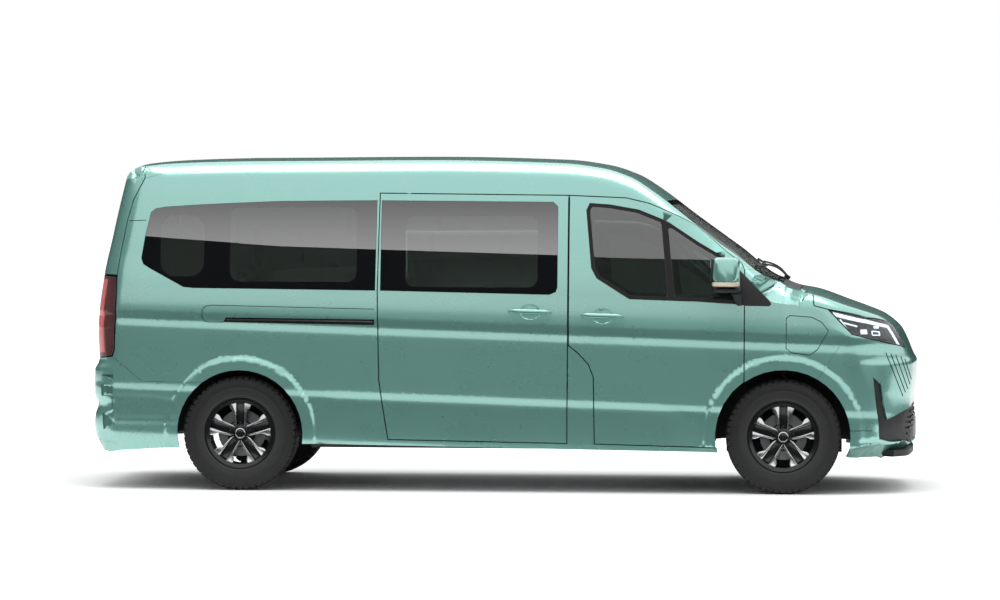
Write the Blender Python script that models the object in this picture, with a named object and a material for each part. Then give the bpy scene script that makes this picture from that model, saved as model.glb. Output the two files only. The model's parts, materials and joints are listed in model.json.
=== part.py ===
"""High-roof minibus, built from one body surface that every outer panel is cut from.

Metres, +X forward, +Z up, the vehicle's right side at -Y, origin on the ground under mid-length.
A station share is 0 at the rear axle, 1 at the front axle, -1 at the tail and 2 at the nose.
A height share is a share of HEIGHT. Side lines are tables of (station share, height share).
"""
import math

import bpy
import numpy as np
from mathutils import Vector
from mathutils.bvhtree import BVHTree
from mathutils.geometry import delaunay_2d_cdt

# Overall size
WHEELBASE = 3.45
FRONT_OVERHANG = 0.855
REAR_OVERHANG = 0.985
HEIGHT = 2.13
HALF_WIDTH = 0.955
TAIL = -(REAR_OVERHANG + WHEELBASE + FRONT_OVERHANG) / 2
REAR_AXLE = TAIL + REAR_OVERHANG
FRONT_AXLE = REAR_AXLE + WHEELBASE

# Wheels
TYRE_RADIUS = 0.362
TYRE_WIDTH = 0.215
RIM_RADIUS = 0.206
HALF_TRACK = 0.82
DISC_RADIUS = 0.15
HUB_RADIUS = 0.07
BARREL_WALL = 0.008
SPOKE_DEPTH = 0.03
SPOKE_PAIRS = 5
TYRE_SEGMENTS = 28
HUB_SEGMENTS = 16

# Clearances
FIT = 0.0009
END_FIT = 0.00095
TWIST_STEP = math.radians(6)
SEAT = 0.0004
DOOR_GAP = 0.006
FLAP_GAP = 0.005
RUNNING_GAP = 0.012

# Panel thicknesses
SIDE_WALL = 0.04
DOOR_WALL = 0.06
DOOR_DRAFT = 0.016
ROOF_WALL = 0.03
FENDER_WALL = 0.03
BONNET_WALL = 0.025
BUMPER_WALL = 0.012
TAILGATE_WALL = 0.05
GLASS_WALL = 0.005
SCREEN_WALL = 0.006
LAMP_WALL = 0.022
TAIL_LAMP_WALL = 0.045
FLAP_WALL = 0.012
FLAP_POCKET = 0.022
FRIT = 0.045

# Shape of the body surface
EDGE_RADIUS = 0.085
END_EDGE_RADIUS = 0.03
NOSE_CORNER_RADIUS = 0.26
TAIL_CORNER_RADIUS = 0.14
ROOF_CROWN = 0.045
BONNET_CROWN = 0.025
SCREEN_SWEEP = 0.04
NOSE_BULGE = 0.10
TAIL_BULGE = 0.035
CAB_TAPER = 0.04
ARCH_FLARE = 0.014
ARCH_MARGIN = 0.05
REAR_ARCH_MARGIN = 0.041
FLARE_BAND = 0.085
RAKE_SHARE = 0.033
CENTRELINE_SHARES = (
    (-0.744, 0.965), (-0.680, 0.978), (-0.396, 0.989), (0.078, 0.996), (0.365, 1.000), (0.590, 0.992),
    (0.668, 0.976), (0.723, 0.947), (0.763, 0.908), (0.838, 0.818), (0.914, 0.730), (0.999, 0.634),
    (1.110, 0.613), (1.261, 0.601), (1.489, 0.569), (1.717, 0.535), (1.823, 0.515), (1.947, 0.488))
# Rows are (height share, station share)
NOSE_SHARES = (
    (0.105, 1.807), (0.122, 1.947), (0.140, 2.000), (0.164, 1.971), (0.214, 1.991), (0.277, 1.980),
    (0.308, 1.989), (0.366, 2.000), (0.387, 2.000), (0.408, 1.975), (0.451, 1.930), (0.486, 1.884),
    (0.515, 1.823), (0.610, 1.632))
TAIL_SHARES = (
    (0.124, -0.954), (0.159, -0.990), (0.190, -1.000), (0.221, -0.993), (0.252, -0.973), (0.282, -0.995),
    (0.329, -0.998), (0.357, -0.995), (0.385, -0.966), (0.469, -0.973), (0.639, -0.935), (0.751, -0.885),
    (0.864, -0.832), (0.965, -0.780), (1.033, -0.741))
# Rows are (height share, share of the half width) and (station share, share of the half width)
SECTION_SHARES = (
    (0.103, 0.953), (0.141, 0.973), (0.235, 0.992), (0.263, 0.996), (0.282, 0.9895), (0.376, 0.9916),
    (0.451, 0.994), (0.479, 0.987), (0.502, 1.000), (0.596, 0.987), (0.728, 0.954), (0.869, 0.908),
    (0.953, 0.872), (1.009, 0.843))
PLAN_SHARES = (
    (-1.000, 0.922), (-0.650, 0.953), (0.000, 0.987), (0.249, 1.000), (0.655, 1.000), (0.916, 0.992),
    (1.129, 0.977), (1.480, 0.948), (2.000, 0.853))

# Lines where the panels meet, seen from the side
ROOF_LINE_SHARES = (
    (-0.635, 0.932), (-0.494, 0.948), (0.104, 0.962), (0.329, 0.969), (0.599, 0.953), (0.683, 0.930),
    (0.784, 0.868))
PILLAR_LINE_SHARES = ((0.784, 0.868), (0.832, 0.806), (0.882, 0.743), (0.948, 0.663))
SCREEN_BASE_SHARES = ((0.948, 0.663), (0.998, 0.625))
TAILGATE_LINE_SHARES = ((-0.635, 0.932), (-0.709, 0.866), (-0.747, 0.803), (-0.793, 0.686), (-0.806, 0.639))
TAIL_LAMP_LINE_SHARES = ((-0.806, 0.639), (-0.809, 0.566), (-0.822, 0.416), (-0.836, 0.397))
REAR_BUMPER_LINE_SHARES = ((-0.836, 0.397), (-0.643, 0.324), (-0.267, 0.321))
SLIDER_BOTTOM_SHARES = ((0.274, 0.154), (0.605, 0.146))
SLIDER_REAR_SHARES = ((0.257, 0.890), (0.254, 0.598), (0.257, 0.333), (0.274, 0.154))
SLIDER_FRONT_SHARES = ((0.605, 0.146), (0.606, 0.438), (0.606, 0.885))
SLIDER_TOP_SHARES = ((0.606, 0.885), (0.257, 0.890))
DOOR_TOP_SHARES = (
    (0.929, 0.665), (0.923, 0.685), (0.894, 0.721), (0.841, 0.794), (0.753, 0.862), (0.711, 0.878),
    (0.606, 0.885))
DOOR_REAR_SHARES = (
    (0.606, 0.885), (0.606, 0.438), (0.624, 0.415), (0.643, 0.382), (0.652, 0.344), (0.654, 0.145))
DOOR_BOTTOM_SHARES = ((0.654, 0.145), (0.881, 0.136))
SIDE_GLASS_SHARES = (
    (-0.593, 0.829), (-0.625, 0.764), (-0.650, 0.692), (-0.637, 0.675), (-0.589, 0.661), (-0.371, 0.607),
    (-0.306, 0.604), (0.2505, 0.599), (0.2525, 0.867), (0.072, 0.864), (-0.267, 0.853), (-0.494, 0.846),
    (-0.560, 0.841))
SLIDER_GLASS_SHARES = (
    (0.2610, 0.867), (0.2600, 0.599), (0.571, 0.589), (0.583, 0.597), (0.586, 0.610), (0.586, 0.850),
    (0.577, 0.864))
DOOR_GLASS_SHARES = (
    (0.638, 0.840), (0.648, 0.668), (0.658, 0.638), (0.718, 0.577), (0.847, 0.570), (0.916, 0.563),
    (0.913, 0.657), (0.899, 0.690), (0.883, 0.710), (0.846, 0.745), (0.788, 0.807), (0.734, 0.842),
    (0.681, 0.857), (0.644, 0.861))
QUARTER_BAR_SHARES = (-0.20, -0.02)
FENDER_TOP_SHARES = ((0.998, 0.625), (1.117, 0.607))
BONNET_LINE_SHARES = ((1.117, 0.607), (1.221, 0.559), (1.324, 0.548))
LAMP_TOP_SHARES = ((1.324, 0.548), (1.608, 0.523), (1.780, 0.507))
LAMP_REAR_SHARES = ((1.324, 0.548), (1.502, 0.474))
LAMP_BOTTOM_SHARES = ((1.502, 0.474), (1.606, 0.463), (1.780, 0.445))
FENDER_LINE_SHARES = ((1.502, 0.474), (1.429, 0.451), (1.246, 0.341))
GRILLE_HORN_SHARES = ((1.705, 0.164), (1.658, 0.348), (1.718, 0.327), (1.765, 0.222))
FLAP_SHARES = (
    (1.016, 0.523), (1.016, 0.432), (1.058, 0.419), (1.194, 0.412), (1.253, 0.430), (1.333, 0.486),
    (1.281, 0.512), (1.208, 0.527), (1.046, 0.532))
# Ends of lines on the nose and tail: (share of the half width, height share)
LAMP_INNER_TOP_SHARES = (0.63, 0.498)
LAMP_INNER_BOTTOM_SHARES = (0.63, 0.430)
NOSE_LIP_SHARE = 0.486
GRILLE_CENTRE_SHARES = (0.148, 0.272)
GRILLE_SHOULDER_SHARES = ((0.72, 0.246), (0.50, 0.262))
GRILLE_CHIN_SHARE = 0.62
BUMPER_BOTTOM_SHARES = (0.108, 0.126)
TAIL_LAMP_INNER_SHARES = ((0.765, 0.639), (0.745, 0.386))
TAILGATE_BOTTOM_SHARE = 0.392
TAILGATE_GLASS_SHARES = ((0.66, 0.655), (0.70, 0.675), (0.63, 0.865), (0.58, 0.880))

# Places and sizes of the rest
HEADER_SHARE = 0.797
SCREEN_FOOT_SHARE = 1.004
BONNET_REAR_SHARE = 1.135
ROOF_CORNER_SHARE = 0.74
BUMPER_TURN_SHARE = 0.72
SILL_SHARES = (0.140, 0.123)
POST_SHARES = (0.585, 0.632)
POST_HEIGHT_SHARES = (0.18, 0.872)
DOORWAY_SHARES = (0.3, 0.5)
SCUTTLE_WALL = 0.02
GRILLE_WALL = 0.01
GRILLE_DEPTH = 0.012
POST_WALL = 0.035
BUFFER_RADIUS = 0.003
POST_GAP = 0.008
BUFFER_SHARES = ((0.596, 0.36, "sliding_door"), (0.622, 0.53, "front_door"))
FLAP_BUFFER_SHARES = (1.13, 0.466)
FLOOR_TOP = 0.46
FLOOR_WALL = 0.04
LOAD_MAT = 0.004
REAR_FLOOR = 0.66
BAY_REAR = -2.42
REAR_PANEL = -2.584
REAR_PANEL_WALL = 0.02
SILL_BOTTOM = 0.275
SILL_INNER = 0.78
REAR_PANEL_HALF = 0.60
REAR_WELL = 0.64
FRONT_WELL = 0.472
FIREWALL = 1.62
SHELF_HEIGHT = 1.20
SHELF_END = 1.87
HOUSE_WALL = 0.012
HOUSE_LIP = 0.008
HOUSE_END = 0.862
HOUSE_EYE = 0.08
HOUSE_SEGMENTS = 14
HOUSE_TURNS = (95, 90)
BUFFER_PLACE = 1.93
BUFFER_INNER = 0.64
BUFFER_SIZE = 0.04
TIE_HALF = 0.05
BEAD_HALF = 0.0925
FLANGE_WALL = 0.006
FLANGE_RISE = 0.009
FACE_PLACE = 0.05
HUB_CAP = 0.022
HUB_FACE = 0.04
HUB_STEP = 0.008
DISC_WALL = 0.02
WINDOW_FOOT = 0.075
RIM_LIP = 0.02
BELL_SHARE = 0.65
SLOT_HALF = (0.012, 0.026)
PAIR_HALF = (0.032, 0.062)
TYRE_SHARES = ((0.64, 0.95), (0.76, 1.0), (0.90, 0.96), (0.985, 0.78))
BALL_OUT = 0.76
BALL_HEIGHT = 0.25
STRUT_OUT = 0.63
STRUT_RADIUS = 0.018
STRUT_TIP = 0.004
STRUT_LAP_SHARES = (0.58, 0.62)
PISTON_SHARE = 0.6
SOCKET_SHARE = 2.5
CARRIER_RADIUS = 0.042
ARM_WALL = 0.025
ARM_HALF = 0.04
SUBFRAME_TOP = 0.30
SUBFRAME_REACH = 0.37
RAIL_SIZE = 0.06
RAIL_OUT = 0.38
DRIVE_SIZE = (0.30, 0.44, 0.32)
BATTERY_SIZE = (1.90, 1.30, 0.14)
ARM_OUT = 0.52
TRAILING_LENGTH = 0.55
BATTERY_GAP = 0.16
BATTERY_PLACE = REAR_AXLE + TRAILING_LENGTH + BATTERY_GAP + BATTERY_SIZE[0] / 2
TUBE_SHARE = 0.8
SEAT_LENGTH = 0.60
SEAT_HEIGHT = 1.08
SEAT_WIDTH = 0.52
BENCH_WIDTH = 1.45
REAR_BENCH_WIDTH = 1.22
REST_WIDTH = 0.26
FOOT_INSET_SHARE = 0.1
DRIVER_OUT = 0.42
FRONT_SEAT_SHARE = 0.60
SECOND_SHARE = 0.30
THIRD_SHARE = 0.02
CUSHION_TOP_SHARE = 0.41
CUSHION_SHARES = ((0.02, 0.27), (0.86, 0.29), (0.88, 0.37), (0.80, CUSHION_TOP_SHARE), (0.10, 0.39))
BACK_SHARES = ((0.02, 0.28), (0.22, 0.40), (0.02, 0.84), (-0.10, 0.86), (-0.18, 0.82))
BASE_SHARES = ((0.12, 0.0), (0.74, 0.0), (0.74, 0.30), (0.12, 0.30))
REST_SHARES = ((-0.10, 0.80), (-0.02, 0.83), (-0.02, 0.98), (-0.08, 1.0), (-0.18, 0.98), (-0.16, 0.83))
# Rows are (station share, share of the seat's height above the floor)
DASH_SHARES = (
    (0.832, 0.4024), (0.826, 0.4813), (0.836, 0.5700), (0.875, 0.6391), (1.0, 0.6588), (1.0, 0.4024))
DASH_HALF = 0.80
STEERING_SHARE = 0.7768116
STEERING_RISE = 0.1872
STEERING_CENTRE = (REAR_AXLE + STEERING_SHARE * WHEELBASE, DRIVER_OUT,
                   FLOOR_TOP + CUSHION_TOP_SHARE * SEAT_HEIGHT + STEERING_RISE)
COLUMN_ANGLE = math.radians(30)
COLUMN_LENGTH = 0.35
COLUMN_RADIUS = 0.03
HUB_DEPTH = 0.045
WHEEL_RING = 0.185
GRIP_RADIUS = 0.014
WHEEL_HUB = 0.06
WHEEL_SEGMENTS = 20
MIRROR_FRONT = 1.535
MIRROR_DEPTH = 0.185
MIRROR_BOTTOM = 1.275
MIRROR_TOP = 1.50
MIRROR_FOOT = 0.045
MIRROR_FOOT_SPAN = (1.503, 1.531)
MIRROR_GAP = 0.055
MIRROR_WIDTH = 0.17
DOOR_HINGE = (1.548, -0.962, 0.90)
BONNET_HINGE = (1.908, 0, 1.305)
TAILGATE_HINGE = (-2.282, 0, 2.10)
FLAP_HINGE = (1.806, -0.957, 1.01)

SAMPLE_STEP = 0.15
EDGE_STEP = 0.16
EPSILON = 1e-4
RANKING = np.array((1.0, 0.0, 0.6))
PAINT = (0.27, 0.50, 0.43, 1)
BLACK = (0.02, 0.02, 0.022, 1)


def x_at(share):
    """Return the place along X of a station share."""
    share = np.asarray(share, float)
    inner = REAR_AXLE + share * WHEELBASE
    rear = REAR_AXLE + share * REAR_OVERHANG
    front = FRONT_AXLE + (share - 1) * FRONT_OVERHANG
    return np.where(share < 0, rear, np.where(share > 1, front, inner))


def share_at(x):
    """Return the station share of a place along X."""
    inner = (x - REAR_AXLE) / WHEELBASE
    rear = (x - REAR_AXLE) / REAR_OVERHANG
    front = 1 + (x - FRONT_AXLE) / FRONT_OVERHANG
    return np.where(x < REAR_AXLE, rear, np.where(x > FRONT_AXLE, front, inner))


def smooth_curve(table):
    """Return a smooth function through the rows of a two-column table."""
    knots, values = np.array(table, float).T
    widths = np.diff(knots)
    slopes = np.diff(values) / widths
    product = slopes[:-1] * slopes[1:]
    total = np.where(product > 0, slopes[:-1] + slopes[1:], 1)
    inner = np.where(product > 0, 2 * product / total, 0)
    tangents = np.concatenate((slopes[:1], inner, slopes[-1:]))

    def value(at):
        i = np.clip(np.searchsorted(knots, at) - 1, 0, len(widths) - 1)
        t = (at - knots[i]) / widths[i]
        clipped = np.clip(t, 0, 1)
        a = clipped * clipped * (3 - 2 * clipped)
        b = clipped * (1 - clipped) ** 2 * widths[i] * tangents[i]
        c = clipped * clipped * (clipped - 1) * widths[i] * tangents[i + 1]
        inside = values[i] * (1 - a) + values[i + 1] * a + b + c
        outside = np.where(t < 0, t * tangents[i], np.where(t > 1, (t - 1) * tangents[i + 1], 0))
        return inside + outside * widths[i]
    return value


CENTRELINE = smooth_curve(CENTRELINE_SHARES)
NOSE = smooth_curve(NOSE_SHARES)
TAIL_CURVE = smooth_curve(TAIL_SHARES)
SECTION = smooth_curve(SECTION_SHARES)
PLAN = smooth_curve(PLAN_SHARES)


def ramp(value, low, high):
    """Return 0 below low, 1 above high and a smooth step between."""
    t = np.clip((value - low) / (high - low), 0, 1)
    return t * t * (3 - 2 * t)


def round_corner(a, b, radius):
    """Join two fields that are negative inside with a rounded corner."""
    u = np.maximum(a + radius, 0)
    v = np.maximum(b + radius, 0)
    return np.minimum(np.maximum(a, b), -radius) + np.hypot(u, v)


def arch_radius(rear):
    """Return the radius of a wheel arch."""
    return TYRE_RADIUS + (REAR_ARCH_MARGIN if rear else ARCH_MARGIN + RUNNING_GAP)


def half_width(x, z):
    """Return the half width of the body at places along X and Z."""
    share = share_at(x)
    height = z / HEIGHT
    raked = height + RAKE_SHARE * x / HEIGHT * np.clip((0.70 - height) / 0.19, 0, 1)
    width = HALF_WIDTH * (SECTION(raked) + PLAN(share) - 1)
    width -= CAB_TAPER * ramp(share, 0.70, 1.05) * ramp(height, 0.58, 0.80)
    for axle, rear in ((REAR_AXLE, True), (FRONT_AXLE, False)):
        distance = np.hypot(x - axle, z - TYRE_RADIUS)
        edge = arch_radius(rear) + FLARE_BAND
        width += ARCH_FLARE * (1 - ramp(distance, edge - ARCH_FLARE, edge))
    return width


def slope_of(curve, share, step, scale):
    """Return the slope of a share curve, where scale turns a unit of it into a plain ratio."""
    return (curve(share + step) - curve(share - step)) / (2 * step) * scale


def body_field(points):
    """Return how far points lie outside the body surface, negative inside."""
    x, y, z = points.T
    share = share_at(x)
    height = z / HEIGHT
    across = (y / HALF_WIDTH) ** 2
    side = np.abs(y) - half_width(x, z)
    forward = ramp(share, 0.60, 0.80)
    swept = share_at(x + SCREEN_SWEEP * forward * across)
    crown = ROOF_CROWN + (BONNET_CROWN - ROOF_CROWN) * forward
    unit = np.where(x > FRONT_AXLE, FRONT_OVERHANG, np.where(x < REAR_AXLE, REAR_OVERHANG, WHEELBASE))
    fall = slope_of(CENTRELINE, swept, EPSILON, HEIGHT / unit)
    top = (z - HEIGHT * CENTRELINE(swept) + crown * across) / np.sqrt(1 + fall * fall)
    lean = slope_of(NOSE, height, EPSILON, FRONT_OVERHANG / HEIGHT)
    nose = (x - x_at(NOSE(height)) + NOSE_BULGE * across) / np.sqrt(1 + lean * lean)
    tail = x_at(TAIL_CURVE(height)) + TAIL_BULGE * across - x
    middle = ramp(share, -0.70, -0.45) * (1 - ramp(share, 1.05, 1.60))
    edge = END_EDGE_RADIUS + (EDGE_RADIUS - END_EDGE_RADIUS) * middle
    plan = round_corner(side, nose, NOSE_CORNER_RADIUS)
    plan = round_corner(plan, tail, TAIL_CORNER_RADIUS)
    return round_corner(plan, top, edge)


def outward(points):
    """Return the outward unit normals of the body surface."""
    columns = []
    for axis in np.eye(3) * EPSILON:
        columns.append(body_field(points + axis) - body_field(points - axis))
    normals = np.stack(columns, axis=1)
    return normals / np.linalg.norm(normals, axis=1, keepdims=True)


def settle(points):
    """Move points that lie near the body surface on to it."""
    for _ in range(12):
        points = points - outward(points) * body_field(points)[:, None]
    return points


def cast(origins, directions):
    """Follow rays from inside the body out to its surface."""
    low = np.zeros(len(origins))
    high = np.full(len(origins), 2 * (WHEELBASE + HEIGHT))
    for _ in range(44):
        middle = (low + high) / 2
        inside = body_field(origins + directions * middle[:, None]) < 0
        low = np.where(inside, middle, low)
        high = np.where(inside, high, middle)
    return origins + directions * low[:, None]


def side_line(shares):
    """Return the surface points of a side line on the right side."""
    shares = np.array(shares, float)
    x, z = x_at(shares[:, 0]), shares[:, 1] * HEIGHT
    origins = np.stack((x, np.zeros_like(x), z), axis=1)
    return cast(origins, np.tile((0.0, -1.0, 0.0), (len(x), 1)))


def end_point(across_share, height_share, forward):
    """Return a surface point on the nose or tail, on the right side."""
    origin = np.array([[x_at(0.9 if forward else 0.1), -across_share * HALF_WIDTH, height_share * HEIGHT]])
    return cast(origin, np.array([[1.0 if forward else -1.0, 0.0, 0.0]]))


def top_point(share, across_share):
    """Return a surface point seen from above, on the right side."""
    origin = np.array([[x_at(share), -across_share * HALF_WIDTH, HEIGHT / 2]])
    return cast(origin, np.array([[0.0, 0.0, 1.0]]))


def arch_line(rear, start, stop, count=14):
    """Return surface points along a wheel arch between two angles, counted from the front."""
    axle = REAR_AXLE if rear else FRONT_AXLE
    angles = np.radians(np.linspace(start, stop, count))
    radius = arch_radius(rear)
    x = axle + radius * np.cos(angles)
    z = TYRE_RADIUS + radius * np.sin(angles)
    origins = np.stack((x, np.zeros_like(x), z), axis=1)
    return cast(origins, np.tile((0.0, -1.0, 0.0), (count, 1)))


def arch_angle(rear, height, ahead):
    """Return the angle at which a wheel arch crosses a height."""
    rise = (height - TYRE_RADIUS) / arch_radius(rear)
    angle = math.degrees(math.asin(max(-1, min(1, rise))))
    return angle if ahead else 180 - angle


def joined(*lines):
    """Chain lines into one, without repeating the points they share."""
    chain = [lines[0]]
    for line in lines[1:]:
        start = 1 if np.linalg.norm(line[0] - chain[-1][-1]) < 10 * EPSILON else 0
        if start < len(line):
            chain.append(line[start:])
    return np.concatenate(chain)


def mirrored(points):
    """Return points on the other side of the centreline, in reverse order."""
    return (points * (1, -1, 1))[::-1]


def resampled(loop, step):
    """Cut the edges of a closed loop into pieces no longer than step, on the surface."""
    pieces = []
    for start, end in zip(loop, np.roll(loop, -1, axis=0)):
        length = np.linalg.norm(end - start)
        if length < EPSILON:
            continue
        normals = outward(settle(start + (end - start) * np.linspace(0, 1, 5)[:, None]))
        turns = np.sum(normals[:-1] * normals[1:], axis=1)
        twist = float(np.sum(np.arccos(np.clip(turns, -1, 1))))
        bends = min(round(twist / TWIST_STEP), math.ceil(length / RUNNING_GAP))
        count = max(1, math.ceil(length / step), bends)
        pieces.append(start + (end - start) * (np.arange(count) / count)[:, None])
    return settle(np.concatenate(pieces))


def area_of(flat):
    """Return the signed area of a closed loop in two dimensions."""
    following = np.roll(flat, -1, axis=0)
    return 0.5 * np.sum(flat[:, 0] * following[:, 1] - following[:, 0] * flat[:, 1])


class Chart:
    """A flat view of the surface: rays from one centre, or parallel rays."""

    def __init__(self, centre, direction, parallel, spacing=(2, 1)):
        self.spacing = spacing
        self.centre = np.array(centre, float)
        self.forward = np.array(direction, float)
        self.parallel = parallel
        up = np.array((1.0, 0, 0)) if abs(self.forward[2]) > 0.9 else np.array((0, 0, 1.0))
        self.right = np.cross(self.forward, up)
        self.up = np.cross(self.right, self.forward)

    def flat(self, points):
        """Return chart coordinates that run anticlockwise round an outward loop."""
        away = points - self.centre
        depth = 1 if self.parallel else (away @ self.forward)[:, None]
        axes = np.stack((-self.right, self.up), axis=1)
        return away @ axes / depth

    def surface(self, flat):
        """Return the surface points under chart coordinates."""
        spread = flat @ np.stack((-self.right, self.up))
        if self.parallel:
            return cast(self.centre + spread, np.tile(self.forward, (len(flat), 1)))
        rays = self.forward + spread
        return cast(np.tile(self.centre, (len(flat), 1)), rays)


class RoundChart:
    """A view of one end of the body from an upright axis: arc length across and height up."""

    parallel = True
    spacing = (1.3, 0.8)

    def __init__(self, place_x, direction, radius):
        self.centre = np.array((place_x, 0, 0), float)
        self.direction = direction
        self.radius = radius

    def flat(self, points):
        """Return chart coordinates that run anticlockwise round an outward loop."""
        away = (points - self.centre) * self.direction
        angle = np.arctan2(away[:, 1], away[:, 0])
        return np.stack((angle * self.radius, points[:, 2]), axis=1)

    def surface(self, flat):
        """Return the surface points under chart coordinates."""
        angle = flat[:, 0] / self.radius
        level = np.zeros(len(flat))
        origins = np.stack((level, level, flat[:, 1]), axis=1) + self.centre
        rays = np.stack((np.cos(angle), np.sin(angle), level), axis=1) * self.direction
        return cast(origins, rays)


def charts():
    """Return the views that the panels are drawn in."""
    return {
        "side": Chart((0, 0, 0), (0, -1, 0), True),
        "top": Chart((0, 0, HEIGHT * 0.5), (0, 0, 1), True, (1.2, 2)),
        "nose": RoundChart(x_at(0.95), 1, HALF_WIDTH),
        "end": RoundChart(x_at(-0.05), -1, HALF_WIDTH),
        "tail": Chart((x_at(-0.05), 0, HEIGHT * 0.55), (-1, 0, 0), False),
        "lamp": Chart((x_at(1.2), -HALF_WIDTH * 0.35, HEIGHT * 0.4), (0.8, -0.6, 0), False),
        "tail_lamp": Chart((x_at(-0.5), -HALF_WIDTH * 0.3, HEIGHT * 0.5), (-0.8, -0.6, 0), False),
    }


CHARTS = charts()


def inset(loop, gap):
    """Move a closed loop on the surface inwards, or outwards where gap is negative."""
    if gap == 0:
        return loop
    normals = outward(loop)
    before = loop - np.roll(loop, 1, axis=0)
    before /= np.linalg.norm(before, axis=1, keepdims=True)
    after = np.roll(before, -1, axis=0)
    inward_before = np.cross(normals, before)
    inward_after = np.cross(normals, after)
    total = inward_before + inward_after
    share = 1 + np.sum(inward_before * inward_after, axis=1, keepdims=True)
    return loop + total / np.maximum(share, 0.5) * gap


def inside_loop(points, loop):
    """Tell which points in two dimensions lie inside a closed loop."""
    x, y = points.T
    following = np.roll(loop, -1, axis=0)
    inside = np.zeros(len(points), bool)
    for (x0, y0), (x1, y1) in zip(loop, following):
        if y0 == y1:
            continue
        crossing = (y0 > y) != (y1 > y)
        inside ^= crossing & (x < (x1 - x0) * (y - y0) / (y1 - y0) + x0)
    return inside


def distance_to(points, loop):
    """Return the distance of points in two dimensions from a closed loop."""
    best = np.full(len(points), np.inf)
    for a, b in zip(loop, np.roll(loop, -1, axis=0)):
        edge = b - a
        t = np.clip((points - a) @ edge / max(edge @ edge, EPSILON ** 2), 0, 1)
        best = np.minimum(best, np.linalg.norm(points - a - t[:, None] * edge, axis=1))
    return best


def grid_points(flats, rows_z, chart, unit, margin):
    """Return the inner sample points of a panel in chart coordinates."""
    low, high = flats[0].min(axis=0), flats[0].max(axis=0)
    step = SAMPLE_STEP / unit
    columns = max(2, round((high[0] - low[0]) / (step * chart.spacing[0])))
    rows = max(2, round((high[1] - low[1]) / (step * chart.spacing[1])))
    if rows_z is None:
        levels = np.linspace(low[1], high[1], rows + 1)
    else:
        levels = np.array(rows_z)
    u, v = np.meshgrid(np.linspace(low[0], high[0], columns + 1), levels)
    points = np.stack((u.ravel(), v.ravel()), axis=1)
    keep = inside_loop(points, flats[0])
    for hole in flats[1:]:
        keep &= ~inside_loop(points, hole)
    for loop in flats:
        keep &= distance_to(points, loop) > margin / unit
    return points[keep]


def filled(flat, edges):
    """Return the triangles to the left of closed outlines, whose edges run anticlockwise round them."""
    result = delaunay_2d_cdt([Vector(p) for p in flat], edges, [], 0, EPSILON * EPSILON)
    if len(result[0]) != len(flat):
        raise ValueError("a panel outline crosses itself")
    origin = [names[0] for names in result[3]]
    triangles = [tuple(origin[i] for i in face) for face in result[2]]
    owner = {}
    for number, (a, b, c) in enumerate(triangles):
        owner.update({(a, b): number, (b, c): number, (c, a): number})
    border = set(edges) | {(j, i) for i, j in edges}
    waiting = [owner[(j, i)] for i, j in edges if (j, i) in owner]
    dropped = set()
    while waiting:
        number = waiting.pop()
        if number in dropped:
            continue
        dropped.add(number)
        a, b, c = triangles[number]
        for i, j in ((a, b), (b, c), (c, a)):
            if (i, j) not in border and (j, i) in owner:
                waiting.append(owner[(j, i)])
    return np.array([t for number, t in enumerate(triangles) if number not in dropped])


def shell(loops, chart, wall, depth=0.0, draft=0.0, rows_z=None):
    """Return the vertices and faces of a closed panel.

    loops are closed loops on the surface, the outline first and then its holes. The panel's outer
    face lies depth under the surface, and its wall is measured along the normal. draft pulls the
    inner edge of the outline in, so that a door clears its frame. The wall faces are split by the
    rank of their corners, so that two panels that meet split them alike.
    """
    ordered = []
    for number, loop in enumerate(loops):
        turn = area_of(chart.flat(loop)) > 0
        ordered.append(loop if turn == (number == 0) else loop[::-1])
    flats = [chart.flat(loop) for loop in ordered]
    spread = np.linalg.norm(np.ptp(ordered[0], axis=0))
    unit = 1 if chart.parallel else spread / np.linalg.norm(np.ptp(flats[0], axis=0))
    inner = grid_points(flats, rows_z, chart, unit, SAMPLE_STEP * 0.3 + draft)
    flat = np.concatenate(flats + [inner])
    edges = []
    start = 0
    for loop in flats:
        count = len(loop)
        edges += [(start + i, start + (i + 1) % count) for i in range(count)]
        start += count
    triangles = filled(flat, edges)
    surface = np.concatenate(ordered + [chart.surface(inner)]) if len(inner) else np.concatenate(ordered)
    normals = outward(surface)
    outer = surface - normals * depth
    pulled = surface.copy()
    pulled[:len(ordered[0])] = inset(ordered[0], draft)
    back = pulled - normals * (depth + wall)
    total = len(surface)
    faces = [tuple(t) for t in triangles] + [tuple(t[::-1] + total) for t in triangles]
    rank = surface @ RANKING + np.abs(surface[:, 1])
    for i, j in edges:
        if rank[i] < rank[j]:
            faces += [(i, i + total, j + total), (i, j + total, j)]
        else:
            faces += [(i, i + total, j), (j, i + total, j + total)]
    return np.concatenate((outer, back)), faces


def material(name, colour, roughness, metallic=0.0, alpha=1.0):
    """Return a plain material."""
    made = bpy.data.materials.new(name)
    made.use_nodes = True
    shader = made.node_tree.nodes["Principled BSDF"]
    shader.inputs["Base Color"].default_value = colour
    shader.inputs["Roughness"].default_value = roughness
    shader.inputs["Metallic"].default_value = metallic
    shader.inputs["Alpha"].default_value = alpha
    return made


def place(name, vertices, faces, finish, origin=(0, 0, 0)):
    """Make an object whose own origin lies at a given place."""
    mesh = bpy.data.meshes.new(name)
    offset = np.array(origin, float)
    mesh.from_pydata([tuple(v) for v in np.asarray(vertices) - offset], [], faces)
    mesh.validate()
    mesh.materials.append(FINISHES[finish])
    made = bpy.data.objects.new(name, mesh)
    made.location = offset
    bpy.context.scene.collection.objects.link(made)
    return made


def flipped(vertices, faces):
    """Return a solid mirrored to the other side of the centreline."""
    return np.asarray(vertices) * (1, -1, 1), [tuple(reversed(face)) for face in faces]


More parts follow.
